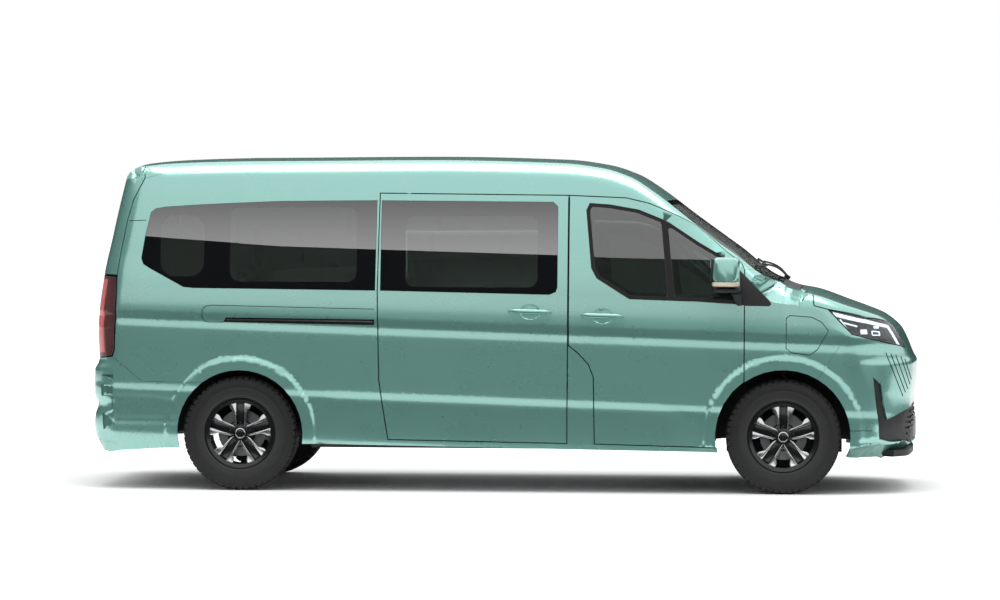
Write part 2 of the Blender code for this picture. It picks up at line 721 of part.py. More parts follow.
def pair(name, solid, finish, origin=(0, 0, 0)):
    """Make the right and the left copy of a solid that is given on the right side."""
    place("right_" + name, *solid, finish, origin)
    place("left_" + name, *flipped(*solid), finish, (origin[0], -origin[1], origin[2]))


def combined(solids, operation="UNION"):
    """Return the solid that a union or a difference of closed solids leaves."""
    scene = bpy.context.scene.collection
    made = []
    for vertices, faces in solids:
        mesh = bpy.data.meshes.new("piece")
        mesh.from_pydata([tuple(v) for v in vertices], [], faces)
        piece = bpy.data.objects.new("piece", mesh)
        scene.objects.link(piece)
        made.append(piece)
    base = made[0]
    for tool in made[1:]:
        step = base.modifiers.new("step", "BOOLEAN")
        step.operation = operation
        step.solver = "EXACT"
        step.object = tool
    graph = bpy.context.evaluated_depsgraph_get()
    result = bpy.data.meshes.new_from_object(base.evaluated_get(graph), depsgraph=graph)
    vertices = np.array([v.co for v in result.vertices])
    faces = [tuple(p.vertices) for p in result.polygons]
    for piece in made:
        bpy.data.objects.remove(piece)
    return vertices, faces


def box(low, high):
    """Return a box between two corners."""
    (x0, y0, z0), (x1, y1, z1) = low, high
    vertices = [(x, y, z) for z in (z0, z1) for x, y in ((x0, y0), (x1, y0), (x1, y1), (x0, y1))]
    faces = [(3, 2, 1, 0), (4, 5, 6, 7), (0, 1, 5, 4), (1, 2, 6, 5), (2, 3, 7, 6), (3, 0, 4, 7)]
    return np.array(vertices, float), faces


def prism(outline, low, high, axis):
    """Return a prism: an anticlockwise outline in the two other axes, swept along axis.

    The outline of a prism along Y holds (x, z) pairs, and of one along Z (x, y) pairs.
    """
    outline = np.array(outline, float)
    if area_of(outline) < 0:
        outline = outline[::-1]
    count = len(outline)
    rows = []
    for level in (low, high):
        column = np.full(count, level)
        if axis == "Y":
            rows.append(np.stack((outline[:, 0], column, outline[:, 1]), axis=1))
        elif axis == "Z":
            rows.append(np.stack((outline[:, 0], outline[:, 1], column), axis=1))
        else:
            rows.append(np.stack((column, outline[:, 0], outline[:, 1]), axis=1))
    bottom = tuple(range(count))
    faces = [bottom[::-1], tuple(i + count for i in bottom)]
    faces += [(i, (i + 1) % count, (i + 1) % count + count, i + count) for i in range(count)]
    if axis == "Y":
        faces = [tuple(reversed(face)) for face in faces]
    return np.concatenate(rows), faces


def turned(profile, segments, centre=(0, 0, 0), axis=(0, 1, 0), start=0, stop=360):
    """Return a solid of revolution of an anticlockwise (radius, along) profile round an axis."""
    profile = np.array(profile, float)
    if area_of(profile) < 0:
        profile = profile[::-1]
    whole = stop - start >= 360
    steps = segments if whole else segments + 1
    along = Vector(axis).normalized()
    sideways = Vector((0, 0, 1)) if abs(along.z) < 0.5 else Vector((1, 0, 0))
    first = (sideways - along * sideways.dot(along)).normalized()
    second = first.cross(along)
    vertices = []
    for i in range(steps):
        angle = math.radians(start + (stop - start) * i / segments)
        radial = first * math.cos(angle) + second * math.sin(angle)
        vertices += [Vector(centre) + radial * r + along * a for r, a in profile]
    count = len(profile)
    faces = []
    for i in range(segments):
        here, there = i * count, ((i + 1) % steps) * count
        for j in range(count):
            k = (j + 1) % count
            faces.append((here + j, here + k, there + k, there + j))
    if not whole:
        faces.append(tuple(reversed(range(count))))
        faces.append(tuple(range((steps - 1) * count, steps * count)))
    return np.array(vertices), faces


def rod(start, end, radius, sides=10):
    """Return a round bar between two points."""
    start, end = Vector(start), Vector(end)
    profile = [(0, 0), (radius, 0), (radius, (end - start).length), (0, (end - start).length)]
    vertices, faces = turned(profile, sides, start, end - start)
    return cleaned(vertices, faces)


def cleaned(vertices, faces):
    """Merge the points that lie together and drop the faces that vanish."""
    keys, index, merged = {}, [], []
    for vertex in vertices:
        key = tuple(np.round(np.asarray(vertex) / (EPSILON * EPSILON * 100)).astype(np.int64))
        if key not in keys:
            keys[key] = len(merged)
            merged.append(vertex)
        index.append(keys[key])
    kept = []
    for face in faces:
        ring = [index[i] for i in face]
        ring = [a for a, b in zip(ring, ring[1:] + ring[:1]) if a != b]
        if len(ring) > 2:
            kept.append(tuple(ring))
    return np.array(merged, float), kept


FINISHES = {}


def make_finishes():
    """Make the plain materials of the pieces."""
    rows = (
        ("paint", PAINT, 0.35, 0.2), ("black_plastic", BLACK, 0.6, 0), ("gloss_black", BLACK, 0.15, 0),
        ("glass", (0.03, 0.035, 0.035, 1), 0.05, 0), ("lamp", (0.5, 0.5, 0.52, 1), 0.1, 0),
        ("red_lamp", (0.35, 0.03, 0.03, 1), 0.15, 0), ("underbody", (0.05, 0.05, 0.05, 1), 0.8, 0),
        ("steel", (0.2, 0.2, 0.2, 1), 0.5, 0.8), ("alloy", (0.6, 0.6, 0.6, 1), 0.3, 0.9),
        ("tyre", (0.02, 0.02, 0.02, 1), 0.85, 0), ("trim", (0.08, 0.08, 0.085, 1), 0.7, 0),
        ("seat", (0.16, 0.17, 0.17, 1), 0.9, 0))
    for name, colour, roughness, metallic in rows:
        FINISHES[name] = material(name, colour, roughness, metallic)


def side_rows():
    """Return the heights at which the side panels follow the creases of the body."""
    shares = (0.18, 0.235, 0.263, 0.282, 0.33, 0.39, 0.451, 0.479, 0.502, 0.55, 0.60, 0.70, 0.80, 0.88)
    return [share * HEIGHT for share in shares]


def lines():
    """Return the lines that the panels share, on the right side, by name."""
    made = {
        "roof": side_line(ROOF_LINE_SHARES), "pillar": side_line(PILLAR_LINE_SHARES),
        "screen_base": side_line(SCREEN_BASE_SHARES), "tailgate": side_line(TAILGATE_LINE_SHARES),
        "tail_lamp": side_line(TAIL_LAMP_LINE_SHARES), "rear_bumper": side_line(REAR_BUMPER_LINE_SHARES),
        "fender_top": side_line(FENDER_TOP_SHARES), "bonnet": side_line(BONNET_LINE_SHARES),
        "lamp_top": side_line(LAMP_TOP_SHARES), "lamp_rear": side_line(LAMP_REAR_SHARES),
        "lamp_bottom": side_line(LAMP_BOTTOM_SHARES), "fender": side_line(FENDER_LINE_SHARES),
    }
    made["lamp_inner"] = np.concatenate((
        end_point(*LAMP_INNER_TOP_SHARES, True), end_point(*LAMP_INNER_BOTTOM_SHARES, True)))
    return made


def trimmed(loop):
    """Drop points of a closed loop that repeat the one before."""
    away = np.linalg.norm(loop - np.roll(loop, 1, axis=0), axis=1)
    return loop[away > 5 * EPSILON]


def facing(loop, chart):
    """Return a loop that runs anticlockwise seen from outside."""
    return loop if area_of(chart.flat(loop)) > 0 else loop[::-1]


def panel_loop(loop, chart, gap, step=EDGE_STEP):
    """Return a closed outline ready for a panel, drawn in by gap."""
    return inset(facing(resampled(trimmed(loop), step), chart), gap)


def glazed(loop, chart, wall, rows, glass_loop, bars, gap, draft=0.0):
    """Return a panel with a rebate and openings for a flush pane, and the pane.

    bars are the station shares between which a post stands behind the pane.
    """
    outline = panel_loop(loop, chart, gap)
    pane = panel_loop(glass_loop, chart, 0)
    clear = inset(pane, FRIT)
    holes = split_loop(clear, bars)
    body = shell([outline] + holes, chart, wall, 0, draft, rows)
    rebate = shell([inset(pane, -FIT)], chart, GLASS_WALL + FIT + SIDE_WALL, -SIDE_WALL, 0, rows)
    body = combined([body, rebate], "DIFFERENCE")
    glass = shell([inset(pane, FIT)], chart, GLASS_WALL, 0, 0, rows)
    return body, glass


def split_loop(loop, bars):
    """Cut a closed side loop into two at a post between two station shares."""
    if not bars:
        return [loop]
    low, high = (float(x_at(share)) for share in bars)
    parts = []
    for keep_rear, at in ((True, low), (False, high)):
        part = []
        for a, b in zip(loop, np.roll(loop, -1, axis=0)):
            inside_a = (a[0] < at) == keep_rear
            inside_b = (b[0] < at) == keep_rear
            if inside_a:
                part.append(a)
            if inside_a != inside_b:
                part.append(a + (b - a) * (at - a[0]) / (b[0] - a[0]))
        parts.append(settle(np.array(part)))
    return parts


def half_loop(*chains):
    """Return a closed loop over the centreline from the lines of its right half."""
    right = joined(*chains)
    return joined(right, mirrored(right))


def side_solids(seams):
    """Return the outline of the right body side."""
    rear_arch = arch_line(True, arch_angle(True, seams["rear_bumper"][-1][2], False),
                          arch_angle(True, SILL_SHARES[0] * HEIGHT, True), 16)
    front_foot = arch_line(False, arch_angle(False, SILL_SHARES[1] * HEIGHT, False),
                           arch_angle(False, DOOR_BOTTOM_SHARES[1][1] * HEIGHT, False), 2)
    return joined(
        seams["tailgate"], seams["tail_lamp"], seams["rear_bumper"][:-1], rear_arch, front_foot,
        side_line(DOOR_REAR_SHARES)[::-1][:-1], side_line(SLIDER_FRONT_SHARES)[::-1][1:],
        side_line(SLIDER_BOTTOM_SHARES)[::-1][1:], side_line(SLIDER_REAR_SHARES)[::-1][1:],
        side_line(SLIDER_TOP_SHARES)[::-1][1:], side_line(DOOR_TOP_SHARES)[::-1][1:],
        seams["pillar"][::-1], seams["roof"][::-1])


def door_outline():
    """Return the outline of the right front door, whose lower front edge is the wheel arch."""
    top = side_line(DOOR_TOP_SHARES)
    foot = arch_angle(False, DOOR_BOTTOM_SHARES[1][1] * HEIGHT, False)
    front = math.degrees(math.acos((top[0][0] - FRONT_AXLE) / arch_radius(False)))
    return joined(top, side_line(DOOR_REAR_SHARES)[1:], arch_line(False, foot, front, 6))


def slider_outline():
    """Return the outline of the right sliding door."""
    return joined(side_line(SLIDER_TOP_SHARES), side_line(SLIDER_REAR_SHARES)[1:],
                  side_line(SLIDER_BOTTOM_SHARES)[1:], side_line(SLIDER_FRONT_SHARES)[1:])


def fender_outline(seams):
    """Return the outline of the right front fender."""
    top = side_line(DOOR_TOP_SHARES)[:1]
    front = math.degrees(math.acos((top[0][0] - FRONT_AXLE) / arch_radius(False)))
    start = arch_angle(False, seams["fender"][-1][2], True)
    return joined(top, seams["pillar"][-1:], seams["screen_base"], seams["fender_top"], seams["bonnet"],
                  seams["lamp_rear"], seams["fender"][:-1], arch_line(False, start, front, 8))


def header_line(seams):
    """Return the edge between roof and windscreen, from the right pillar to the centreline."""
    return joined(seams["roof"][-1:], top_point(HEADER_SHARE, 0))


def roof_outline(seams):
    """Return the outline of the roof."""
    rear = seams["roof"][:1]
    tail = joined(top_point(ROOF_LINE_SHARES[0][0], 0), top_point(ROOF_LINE_SHARES[0][0], ROOF_CORNER_SHARE))
    return half_loop(tail, rear, seams["roof"], header_line(seams)[1:])


def screen_outline(seams):
    """Return the outline of the windscreen."""
    return half_loop(header_line(seams)[::-1], seams["pillar"], seams["screen_base"],
                     top_point(SCREEN_FOOT_SHARE, 0))


def scuttle_outline(seams):
    """Return the outline of the scuttle panel."""
    return half_loop(top_point(SCREEN_FOOT_SHARE, 0), seams["screen_base"][-1:], seams["fender_top"],
                     top_point(BONNET_REAR_SHARE, 0))


def bonnet_outline(seams):
    """Return the outline of the bonnet."""
    return half_loop(top_point(BONNET_REAR_SHARE, 0), seams["bonnet"], seams["lamp_top"],
                     seams["lamp_inner"][:1], end_point(0, NOSE_LIP_SHARE, True))


def lamp_outline(seams):
    """Return the outline of the right headlamp."""
    return joined(seams["lamp_top"], seams["lamp_inner"], seams["lamp_bottom"][::-1],
                  seams["lamp_rear"][::-1])


def front_bumper_outline(seams):
    """Return the outline of the front bumper."""
    start = arch_angle(False, seams["fender"][-1][2], True)
    stop = arch_angle(False, BUMPER_BOTTOM_SHARES[0] * HEIGHT, True)
    return half_loop(end_point(0, NOSE_LIP_SHARE, True), seams["lamp_inner"], seams["lamp_bottom"][::-1],
                     seams["fender"][:-1], arch_line(False, start, stop, 10),
                     end_point(BUMPER_TURN_SHARE, BUMPER_BOTTOM_SHARES[0], True),
                     end_point(0, BUMPER_BOTTOM_SHARES[0], True))


def grille_outline():
    """Return the outline of the lower grille with its two upright horns."""
    shoulders = [end_point(*row, True) for row in GRILLE_SHOULDER_SHARES]
    bottom, top = GRILLE_CENTRE_SHARES
    return half_loop(end_point(0, bottom, True), end_point(GRILLE_CHIN_SHARE, bottom, True),
                     side_line(GRILLE_HORN_SHARES), *shoulders, end_point(0, top, True))


def rear_bumper_outline(seams):
    """Return the outline of the rear bumper."""
    start = arch_angle(True, seams["rear_bumper"][-1][2], False)
    stop = arch_angle(True, BUMPER_BOTTOM_SHARES[1] * HEIGHT, False)
    return half_loop(end_point(0, TAILGATE_BOTTOM_SHARE, False), end_point(*TAIL_LAMP_INNER_SHARES[1], False),
                     seams["rear_bumper"][:-1], arch_line(True, start, stop, 8),
                     end_point(BUMPER_TURN_SHARE, BUMPER_BOTTOM_SHARES[1], False),
                     end_point(0, BUMPER_BOTTOM_SHARES[1], False))


def tail_lamp_outline(seams):
    """Return the outline of the right tail lamp."""
    top, bottom = (end_point(*row, False) for row in TAIL_LAMP_INNER_SHARES)
    return joined(seams["tail_lamp"], bottom, top)


def tailgate_outline(seams):
    """Return the outline of the tailgate, full width above and between the lamps below."""
    top, bottom = (end_point(*row, False) for row in TAIL_LAMP_INNER_SHARES)
    share = ROOF_LINE_SHARES[0][0]
    return half_loop(top_point(share, 0), top_point(share, ROOF_CORNER_SHARE), seams["tailgate"], top,
                     bottom, end_point(0, TAILGATE_BOTTOM_SHARE, False))


def tailgate_glass_outline():
    """Return the outline of the tailgate glass."""
    rows = [end_point(*row, False) for row in TAILGATE_GLASS_SHARES]
    return half_loop(end_point(0, TAILGATE_GLASS_SHARES[0][1], False), *rows,
                     end_point(0, TAILGATE_GLASS_SHARES[-1][1], False))


def reach(solid, origin, direction):
    """Return where a ray meets a solid."""
    tree = BVHTree.FromPolygons([Vector(v) for v in solid[0]], solid[1])
    hit = tree.ray_cast(Vector(origin), Vector(direction))[0]
    if hit is None:
        raise ValueError("a seat finds nothing to rest on")
    return np.array(hit)


def buffer(solid, x, z, length):
    """Return a short rod that backs the inner face of a panel on the right side."""
    point = cast(np.array([[x, 0.0, z]]), np.array([[0.0, -1.0, 0.0]]))
    normal = outward(point)[0]
    back = reach(solid, point[0] - normal * 2 * DOOR_WALL, normal)
    return rod(back - normal * SEAT, back - normal * length, BUFFER_RADIUS, 8)


def highest_under(solid, corners, start):
    """Return the lowest height at which a solid lies above some places."""
    return min(reach(solid, (x, y, start), (0, 0, 1))[2] for x, y in corners)


def make_shell():
    """Make the roof, sides, fenders, bumpers, lamps, glass and closures."""
    seams = LINES
    rows = side_rows()
    side, top, nose, tail, end = (CHARTS[k] for k in ("side", "top", "nose", "tail", "end"))
    wall, glass = glazed(side_solids(seams), side, SIDE_WALL, rows, side_line(SIDE_GLASS_SHARES),
                         QUARTER_BAR_SHARES, END_FIT)
    pair("side", wall, "paint")
    pair("side_glass", glass, "glass")
    slider, glass = glazed(slider_outline(), side, DOOR_WALL, rows, side_line(SLIDER_GLASS_SHARES), None,
                           DOOR_GAP, DOOR_DRAFT)
    pair("sliding_door", slider, "paint")
    pair("sliding_glass", glass, "glass")
    door, glass = glazed(door_outline(), side, DOOR_WALL, rows, side_line(DOOR_GLASS_SHARES), None,
                         DOOR_GAP, DOOR_DRAFT)
    pair("front_door", door, "paint", DOOR_HINGE)
    pair("front_glass", glass, "glass", DOOR_HINGE)
    make_fender(seams, rows)
    roof = shell([panel_loop(roof_outline(seams), top, FIT / 2)], top, ROOF_WALL)
    place("roof", *roof, "paint")
    loop = panel_loop(screen_outline(seams), top, FIT / 2)
    place("windscreen", *shell([loop], top, SCREEN_WALL), "glass")
    loop = panel_loop(scuttle_outline(seams), top, FIT / 2)
    place("scuttle", *shell([loop], top, SCUTTLE_WALL), "black_plastic")
    loop = panel_loop(bonnet_outline(seams), top, DOOR_GAP)
    bonnet = shell([loop], top, BONNET_WALL)
    place("bonnet", *bonnet, "paint", BONNET_HINGE)
    lamp = CHARTS["lamp"]
    pair("headlamp", shell([panel_loop(lamp_outline(seams), lamp, END_FIT)], lamp, LAMP_WALL), "lamp")
    grille = panel_loop(grille_outline(), nose, 0)
    outline = panel_loop(front_bumper_outline(seams), nose, FIT / 2)
    place("front_bumper", *shell([outline, grille], nose, BUMPER_WALL), "paint")
    place("lower_grille", *shell([inset(grille, FIT)], nose, GRILLE_WALL, GRILLE_DEPTH), "black_plastic")
    outline = panel_loop(rear_bumper_outline(seams), end, END_FIT)
    rear_bumper = shell([outline], end, BUMPER_WALL)
    place("rear_bumper", *rear_bumper, "paint")
    lamp = CHARTS["tail_lamp"]
    pair("tail_lamp", shell([panel_loop(tail_lamp_outline(seams), lamp, FIT / 2)], lamp, TAIL_LAMP_WALL),
         "red_lamp")
    gate, glass = glazed(tailgate_outline(seams), tail, TAILGATE_WALL, None, tailgate_glass_outline(), None,
                         DOOR_GAP)
    place("tailgate", *gate, "paint", TAILGATE_HINGE)
    place("tailgate_glass", *glass, "glass", TAILGATE_HINGE)
    return {"side": wall, "sliding_door": slider, "front_door": door, "bonnet": bonnet,
            "rear_bumper": rear_bumper, "tailgate": gate}


def make_fender(seams, rows):
    """Make the fenders, the right one with the charge flap in its pocket."""
    side = CHARTS["side"]
    loop = panel_loop(fender_outline(seams), side, END_FIT)
    plain = shell([loop], side, FENDER_WALL, rows_z=rows)
    place("left_fender", *flipped(*plain), "paint")
    flap = panel_loop(side_line(FLAP_SHARES), side, 0)
    pocket = shell([flap], side, FENDER_WALL + FLAP_POCKET, -FENDER_WALL, rows_z=rows)
    fender = combined([plain, pocket], "DIFFERENCE")
    leaf = shell([inset(flap, FLAP_GAP)], side, FLAP_WALL, rows_z=rows)
    x, z = FLAP_BUFFER_SHARES
    post = buffer(leaf, float(x_at(x)), z * HEIGHT, FLAP_POCKET - FLAP_WALL + FIT)
    place("right_fender", *combined([fender, post]), "paint")
    place("charge_flap", *leaf, "paint", FLAP_HINGE)


def make_posts(panels):
    """Make the B-pillars, which stand on the floor behind the door edges."""
    side = CHARTS["side"]
    (rear, front), (foot, head) = POST_SHARES, POST_HEIGHT_SHARES
    corners = [(rear, foot), (front, foot), (front, head), (rear, head)]
    loop = panel_loop(side_line(corners), side, 0)
    post = shell([loop], side, POST_WALL, DOOR_WALL + POST_GAP, rows_z=side_rows())
    below = box((-WHEELBASE, -2 * HALF_WIDTH, 0), (WHEELBASE, 0, FLOOR_TOP + SEAT))
    post = combined([post, below], "DIFFERENCE")
    pads = [buffer(panels[name], float(x_at(x)), z * HEIGHT, POST_GAP + BUFFER_RADIUS)
            for x, z, name in BUFFER_SHARES]
    pair("pillar", combined([post] + pads), "paint")


def floor_edge(solid, low, high):
    """Return the half width at which the floor meets the inner face of a panel between two places."""
    places = np.linspace(low, high, 9)
    heights = (FLOOR_TOP - FLOOR_WALL, FLOOR_TOP - FLOOR_WALL / 2, FLOOR_TOP)
    return min(-reach(solid, (x, 0, z), (0, -1, 0))[1] for x in places for z in heights) - SEAT


def make_floor(panels):
    """Make the floor with its sills, its load mat and the panel under the tailgate."""
    wheel_half = arch_radius(True) + 3 * RUNNING_GAP
    bay_front = float(x_at(SLIDER_REAR_SHARES[1][0])) - 2 * DOOR_DRAFT
    door_front = FRONT_AXLE - arch_radius(False) - 2 * RUNNING_GAP
    door_edge = floor_edge(panels["sliding_door"], *x_at(DOORWAY_SHARES)) - DOOR_GAP
    rear_bay = floor_edge(panels["rear_bumper"], BAY_REAR, REAR_AXLE - wheel_half)
    middle_bay = floor_edge(panels["side"], REAR_AXLE + wheel_half, bay_front)
    right = [(REAR_PANEL, -REAR_FLOOR), (BAY_REAR, -rear_bay), (REAR_AXLE - wheel_half, -rear_bay),
             (REAR_AXLE - wheel_half, -REAR_WELL), (REAR_AXLE + wheel_half, -REAR_WELL),
             (REAR_AXLE + wheel_half, -middle_bay), (bay_front, -middle_bay), (bay_front, -door_edge),
             (door_front, -door_edge), (door_front, RUNNING_GAP - FRONT_WELL),
             (FIREWALL - SEAT, RUNNING_GAP - FRONT_WELL)]
    outline = right + [(x, -y) for x, y in reversed(right)]
    slab = prism(outline, FLOOR_TOP - FLOOR_WALL, FLOOR_TOP, "Z")
    solids = [slab]
    for side in (-1, 1):
        low, high = sorted((side * SILL_INNER, side * (door_edge - RUNNING_GAP)))
        solids.append(box((REAR_AXLE + wheel_half + RUNNING_GAP, low, SILL_BOTTOM),
                          (door_front - RUNNING_GAP, high, FLOOR_TOP - FLOOR_WALL / 2)))
    half = REAR_PANEL_HALF
    back = REAR_PANEL + REAR_PANEL_WALL
    corners = [(x, y) for x in (REAR_PANEL, back) for y in (-half, 0, half)]
    top = highest_under(panels["tailgate"], corners, FLOOR_TOP) - SEAT
    solids.append(box((REAR_PANEL, -half, FLOOR_TOP - FLOOR_WALL / 2), (back, half, top)))
    mat_half = REAR_WELL - RUNNING_GAP
    solids.append(box((BAY_REAR + RUNNING_GAP, -mat_half, FLOOR_TOP - LOAD_MAT),
                      (REAR_AXLE - TIE_HALF - 2 * RUNNING_GAP, mat_half, FLOOR_TOP + LOAD_MAT)))
    place("floor", *combined(solids), "underbody")


def drum(axle, inner_radius, well, start, stop):
    """Return a wheelhouse: a part drum open at the bottom and towards the wheel."""
    outer = inner_radius + HOUSE_WALL
    profile = [(HOUSE_EYE, -well), (outer, -well), (outer, -HOUSE_END), (inner_radius, -HOUSE_END),
               (inner_radius, -well - HOUSE_WALL), (HOUSE_EYE, -well - HOUSE_WALL)]
    return turned(profile, HOUSE_SEGMENTS, (axle, 0, TYRE_RADIUS), start=start, stop=stop)


def make_wheelhouses(panels):
    """Make the front bulkhead and the rear wheelhouses."""
    front = drum(FRONT_AXLE, arch_radius(False) + HOUSE_LIP, FRONT_WELL, -HOUSE_TURNS[0], HOUSE_TURNS[0])
    wall = prism([(FIREWALL, FLOOR_TOP - FLOOR_WALL / 2), (FIREWALL + HOUSE_WALL, FLOOR_TOP - FLOOR_WALL / 2),
                  (FIREWALL + HOUSE_WALL, SHELF_HEIGHT - HOUSE_WALL), (SHELF_END, SHELF_HEIGHT - HOUSE_WALL),
                  (SHELF_END, SHELF_HEIGHT), (FIREWALL, SHELF_HEIGHT)],
                 -FRONT_WELL - HOUSE_WALL / 2, FRONT_WELL + HOUSE_WALL / 2, "Y")
    solids = [wall, front, flipped(*front)]
    for side in (-1, 1):
        low, high = sorted((side * BUFFER_INNER, side * (BUFFER_INNER + BUFFER_SIZE)))
        ends = (BUFFER_PLACE, BUFFER_PLACE + BUFFER_SIZE)
        top = highest_under(panels["bonnet"], [(x, y) for x in ends for y in (low, high)], FLOOR_TOP)
        foot = TYRE_RADIUS + math.sqrt(arch_radius(False) ** 2 - (BUFFER_PLACE - FRONT_AXLE) ** 2)
        solids.append(box((ends[0], low, foot), (ends[1], high, top - SEAT)))
    place("front_bulkhead", *combined(solids), "underbody")
    rear = drum(REAR_AXLE, arch_radius(True) + HOUSE_LIP, REAR_WELL + RUNNING_GAP, -HOUSE_TURNS[1],
                HOUSE_TURNS[1])
    tie = box((REAR_AXLE - TIE_HALF, -REAR_WELL - RUNNING_GAP - HOUSE_WALL / 2, FLOOR_TOP + SEAT),
              (REAR_AXLE + TIE_HALF, REAR_WELL + RUNNING_GAP + HOUSE_WALL / 2, FLOOR_TOP + TIE_HALF))
    place("rear_wheelhouses", *combined([tie, rear, flipped(*rear)]), "underbody")


def plate(outline, holes, low, high):
    """Return a flat plate with holes, drawn in (x, z) and set between two places along Y."""
    loops = [np.array(outline, float)] + [np.array(hole, float) for hole in holes]
    flat = np.concatenate(loops)
    edges, start = [], 0
    for number, loop in enumerate(loops):
        if (area_of(loop) > 0) != (number == 0):
            flat[start:start + len(loop)] = loop[::-1]
        edges += [(start + i, start + (i + 1) % len(loop)) for i in range(len(loop))]
        start += len(loop)
    triangles = filled(flat, edges)
    total = len(flat)
    near = np.stack((flat[:, 0], np.full(total, low), flat[:, 1]), axis=1)
    far = near + np.array((0, high - low, 0))
    faces = [tuple(t) for t in triangles] + [tuple(t[::-1] + total) for t in triangles]
    for i, j in edges:
        faces += [(i, i + total, j + total), (i, j + total, j)]
    return np.concatenate((near, far)), faces


def spoke_windows():
    """Return the openings of the wheel face, as (x, z) loops round the wheel's centre."""
    def edge(turn, offset, radius):
        angle = turn + math.asin(offset / radius)
        return radius * math.cos(angle), radius * math.sin(angle)

    inner, outer = WINDOW_FOOT, RIM_RADIUS - RIM_LIP
    windows = []
    for number in range(SPOKE_PAIRS):
        here = math.radians(90 + 360 / SPOKE_PAIRS * number)
        there = here + math.radians(360 / SPOKE_PAIRS)
        slot = [edge(here, -SLOT_HALF[0], inner), edge(here, -SLOT_HALF[1], outer),
                edge(here, SLOT_HALF[1], outer), edge(here, SLOT_HALF[0], inner)]
        windows.append(slot)
        gap = [edge(here, PAIR_HALF[0], inner), edge(here, PAIR_HALF[1], outer)]
        middle = (here + there) / 2
        for turn in (-0.5, 0, 0.5):
            angle = middle + turn * (there - middle - math.asin(PAIR_HALF[1] / outer))
            gap.append((outer * math.cos(angle), outer * math.sin(angle)))
        gap += [edge(there, -PAIR_HALF[1], outer), edge(there, -PAIR_HALF[0], inner)]
        windows.append(gap)
    return windows


def rim_solid():
    """Return a wheel with its hub and brake disc, its outer face towards -Y, round the origin."""
    half = BEAD_HALF
    seat = RIM_RADIUS - SEAT
    bore = seat - 2 * BARREL_WALL
    profile = [(bore, -half - FLANGE_WALL), (seat + FLANGE_RISE, -half - FLANGE_WALL),
               (seat + FLANGE_RISE, -half), (seat, -half), (seat, half), (seat + FLANGE_RISE, half),
               (seat + FLANGE_RISE, half + FLANGE_WALL), (bore, half + FLANGE_WALL)]
    barrel = turned(profile, TYRE_SEGMENTS)
    angles = np.radians(np.arange(TYRE_SEGMENTS) * 360 / TYRE_SEGMENTS)
    radius = seat - BARREL_WALL
    circle = np.stack((radius * np.cos(angles), radius * np.sin(angles)), axis=1)
    face = plate(circle, spoke_windows(), -FACE_PLACE - SPOKE_DEPTH, -FACE_PLACE)
    disc_face = HUB_FACE - HUB_STEP
    hub = [(0, -FACE_PLACE - HUB_CAP), (HUB_RADIUS / 2, -FACE_PLACE - HUB_CAP), (HUB_RADIUS, -FACE_PLACE),
           (HUB_RADIUS, disc_face - DISC_WALL), (DISC_RADIUS, disc_face - DISC_WALL),
           (DISC_RADIUS, disc_face), (HUB_RADIUS * BELL_SHARE, disc_face),
           (HUB_RADIUS * BELL_SHARE, HUB_FACE - SEAT), (0, HUB_FACE - SEAT)]
    return combined([barrel, face, cleaned(*turned(hub, HUB_SEGMENTS))])


def tyre_solid():
    """Return a tyre round the origin."""
    right = [(TYRE_RADIUS * r, TYRE_WIDTH / 2 * a) for r, a in TYRE_SHARES]
    bead = [(RIM_RADIUS, BEAD_HALF - SEAT), (RIM_RADIUS + FLANGE_RISE + SEAT, BEAD_HALF - SEAT)]
    half = bead + right
    profile = half + [(TYRE_RADIUS, 0)] + [(r, -a) for r, a in reversed(half)]
    return turned(profile, TYRE_SEGMENTS)


def make_wheels():
    """Make the four tyres and rims."""
    rim, tyre = rim_solid(), tyre_solid()
    for where, axle in (("front", FRONT_AXLE), ("rear", REAR_AXLE)):
        centre = np.array((axle, -HALF_TRACK, TYRE_RADIUS))
        for side, turn in (("right", 1), ("left", -1)):
            spot = centre * (1, turn, 1)
            for kind, solid, finish in (("rim", rim, "alloy"), ("tyre", tyre, "tyre")):
                vertices, faces = solid if turn == 1 else flipped(*solid)
                place("%s_%s_%s" % (side, where, kind), vertices + spot, faces, finish, spot)


def steer_axis():
    """Return the lower ball joint of the right knuckle and the direction up its strut."""
    ball = Vector((FRONT_AXLE, -BALL_OUT, BALL_HEIGHT))
    top = Vector((FRONT_AXLE, -STRUT_OUT, TYRE_RADIUS + arch_radius(False) + HOUSE_LIP))
    return ball, (top - ball).normalized(), (top - ball).length


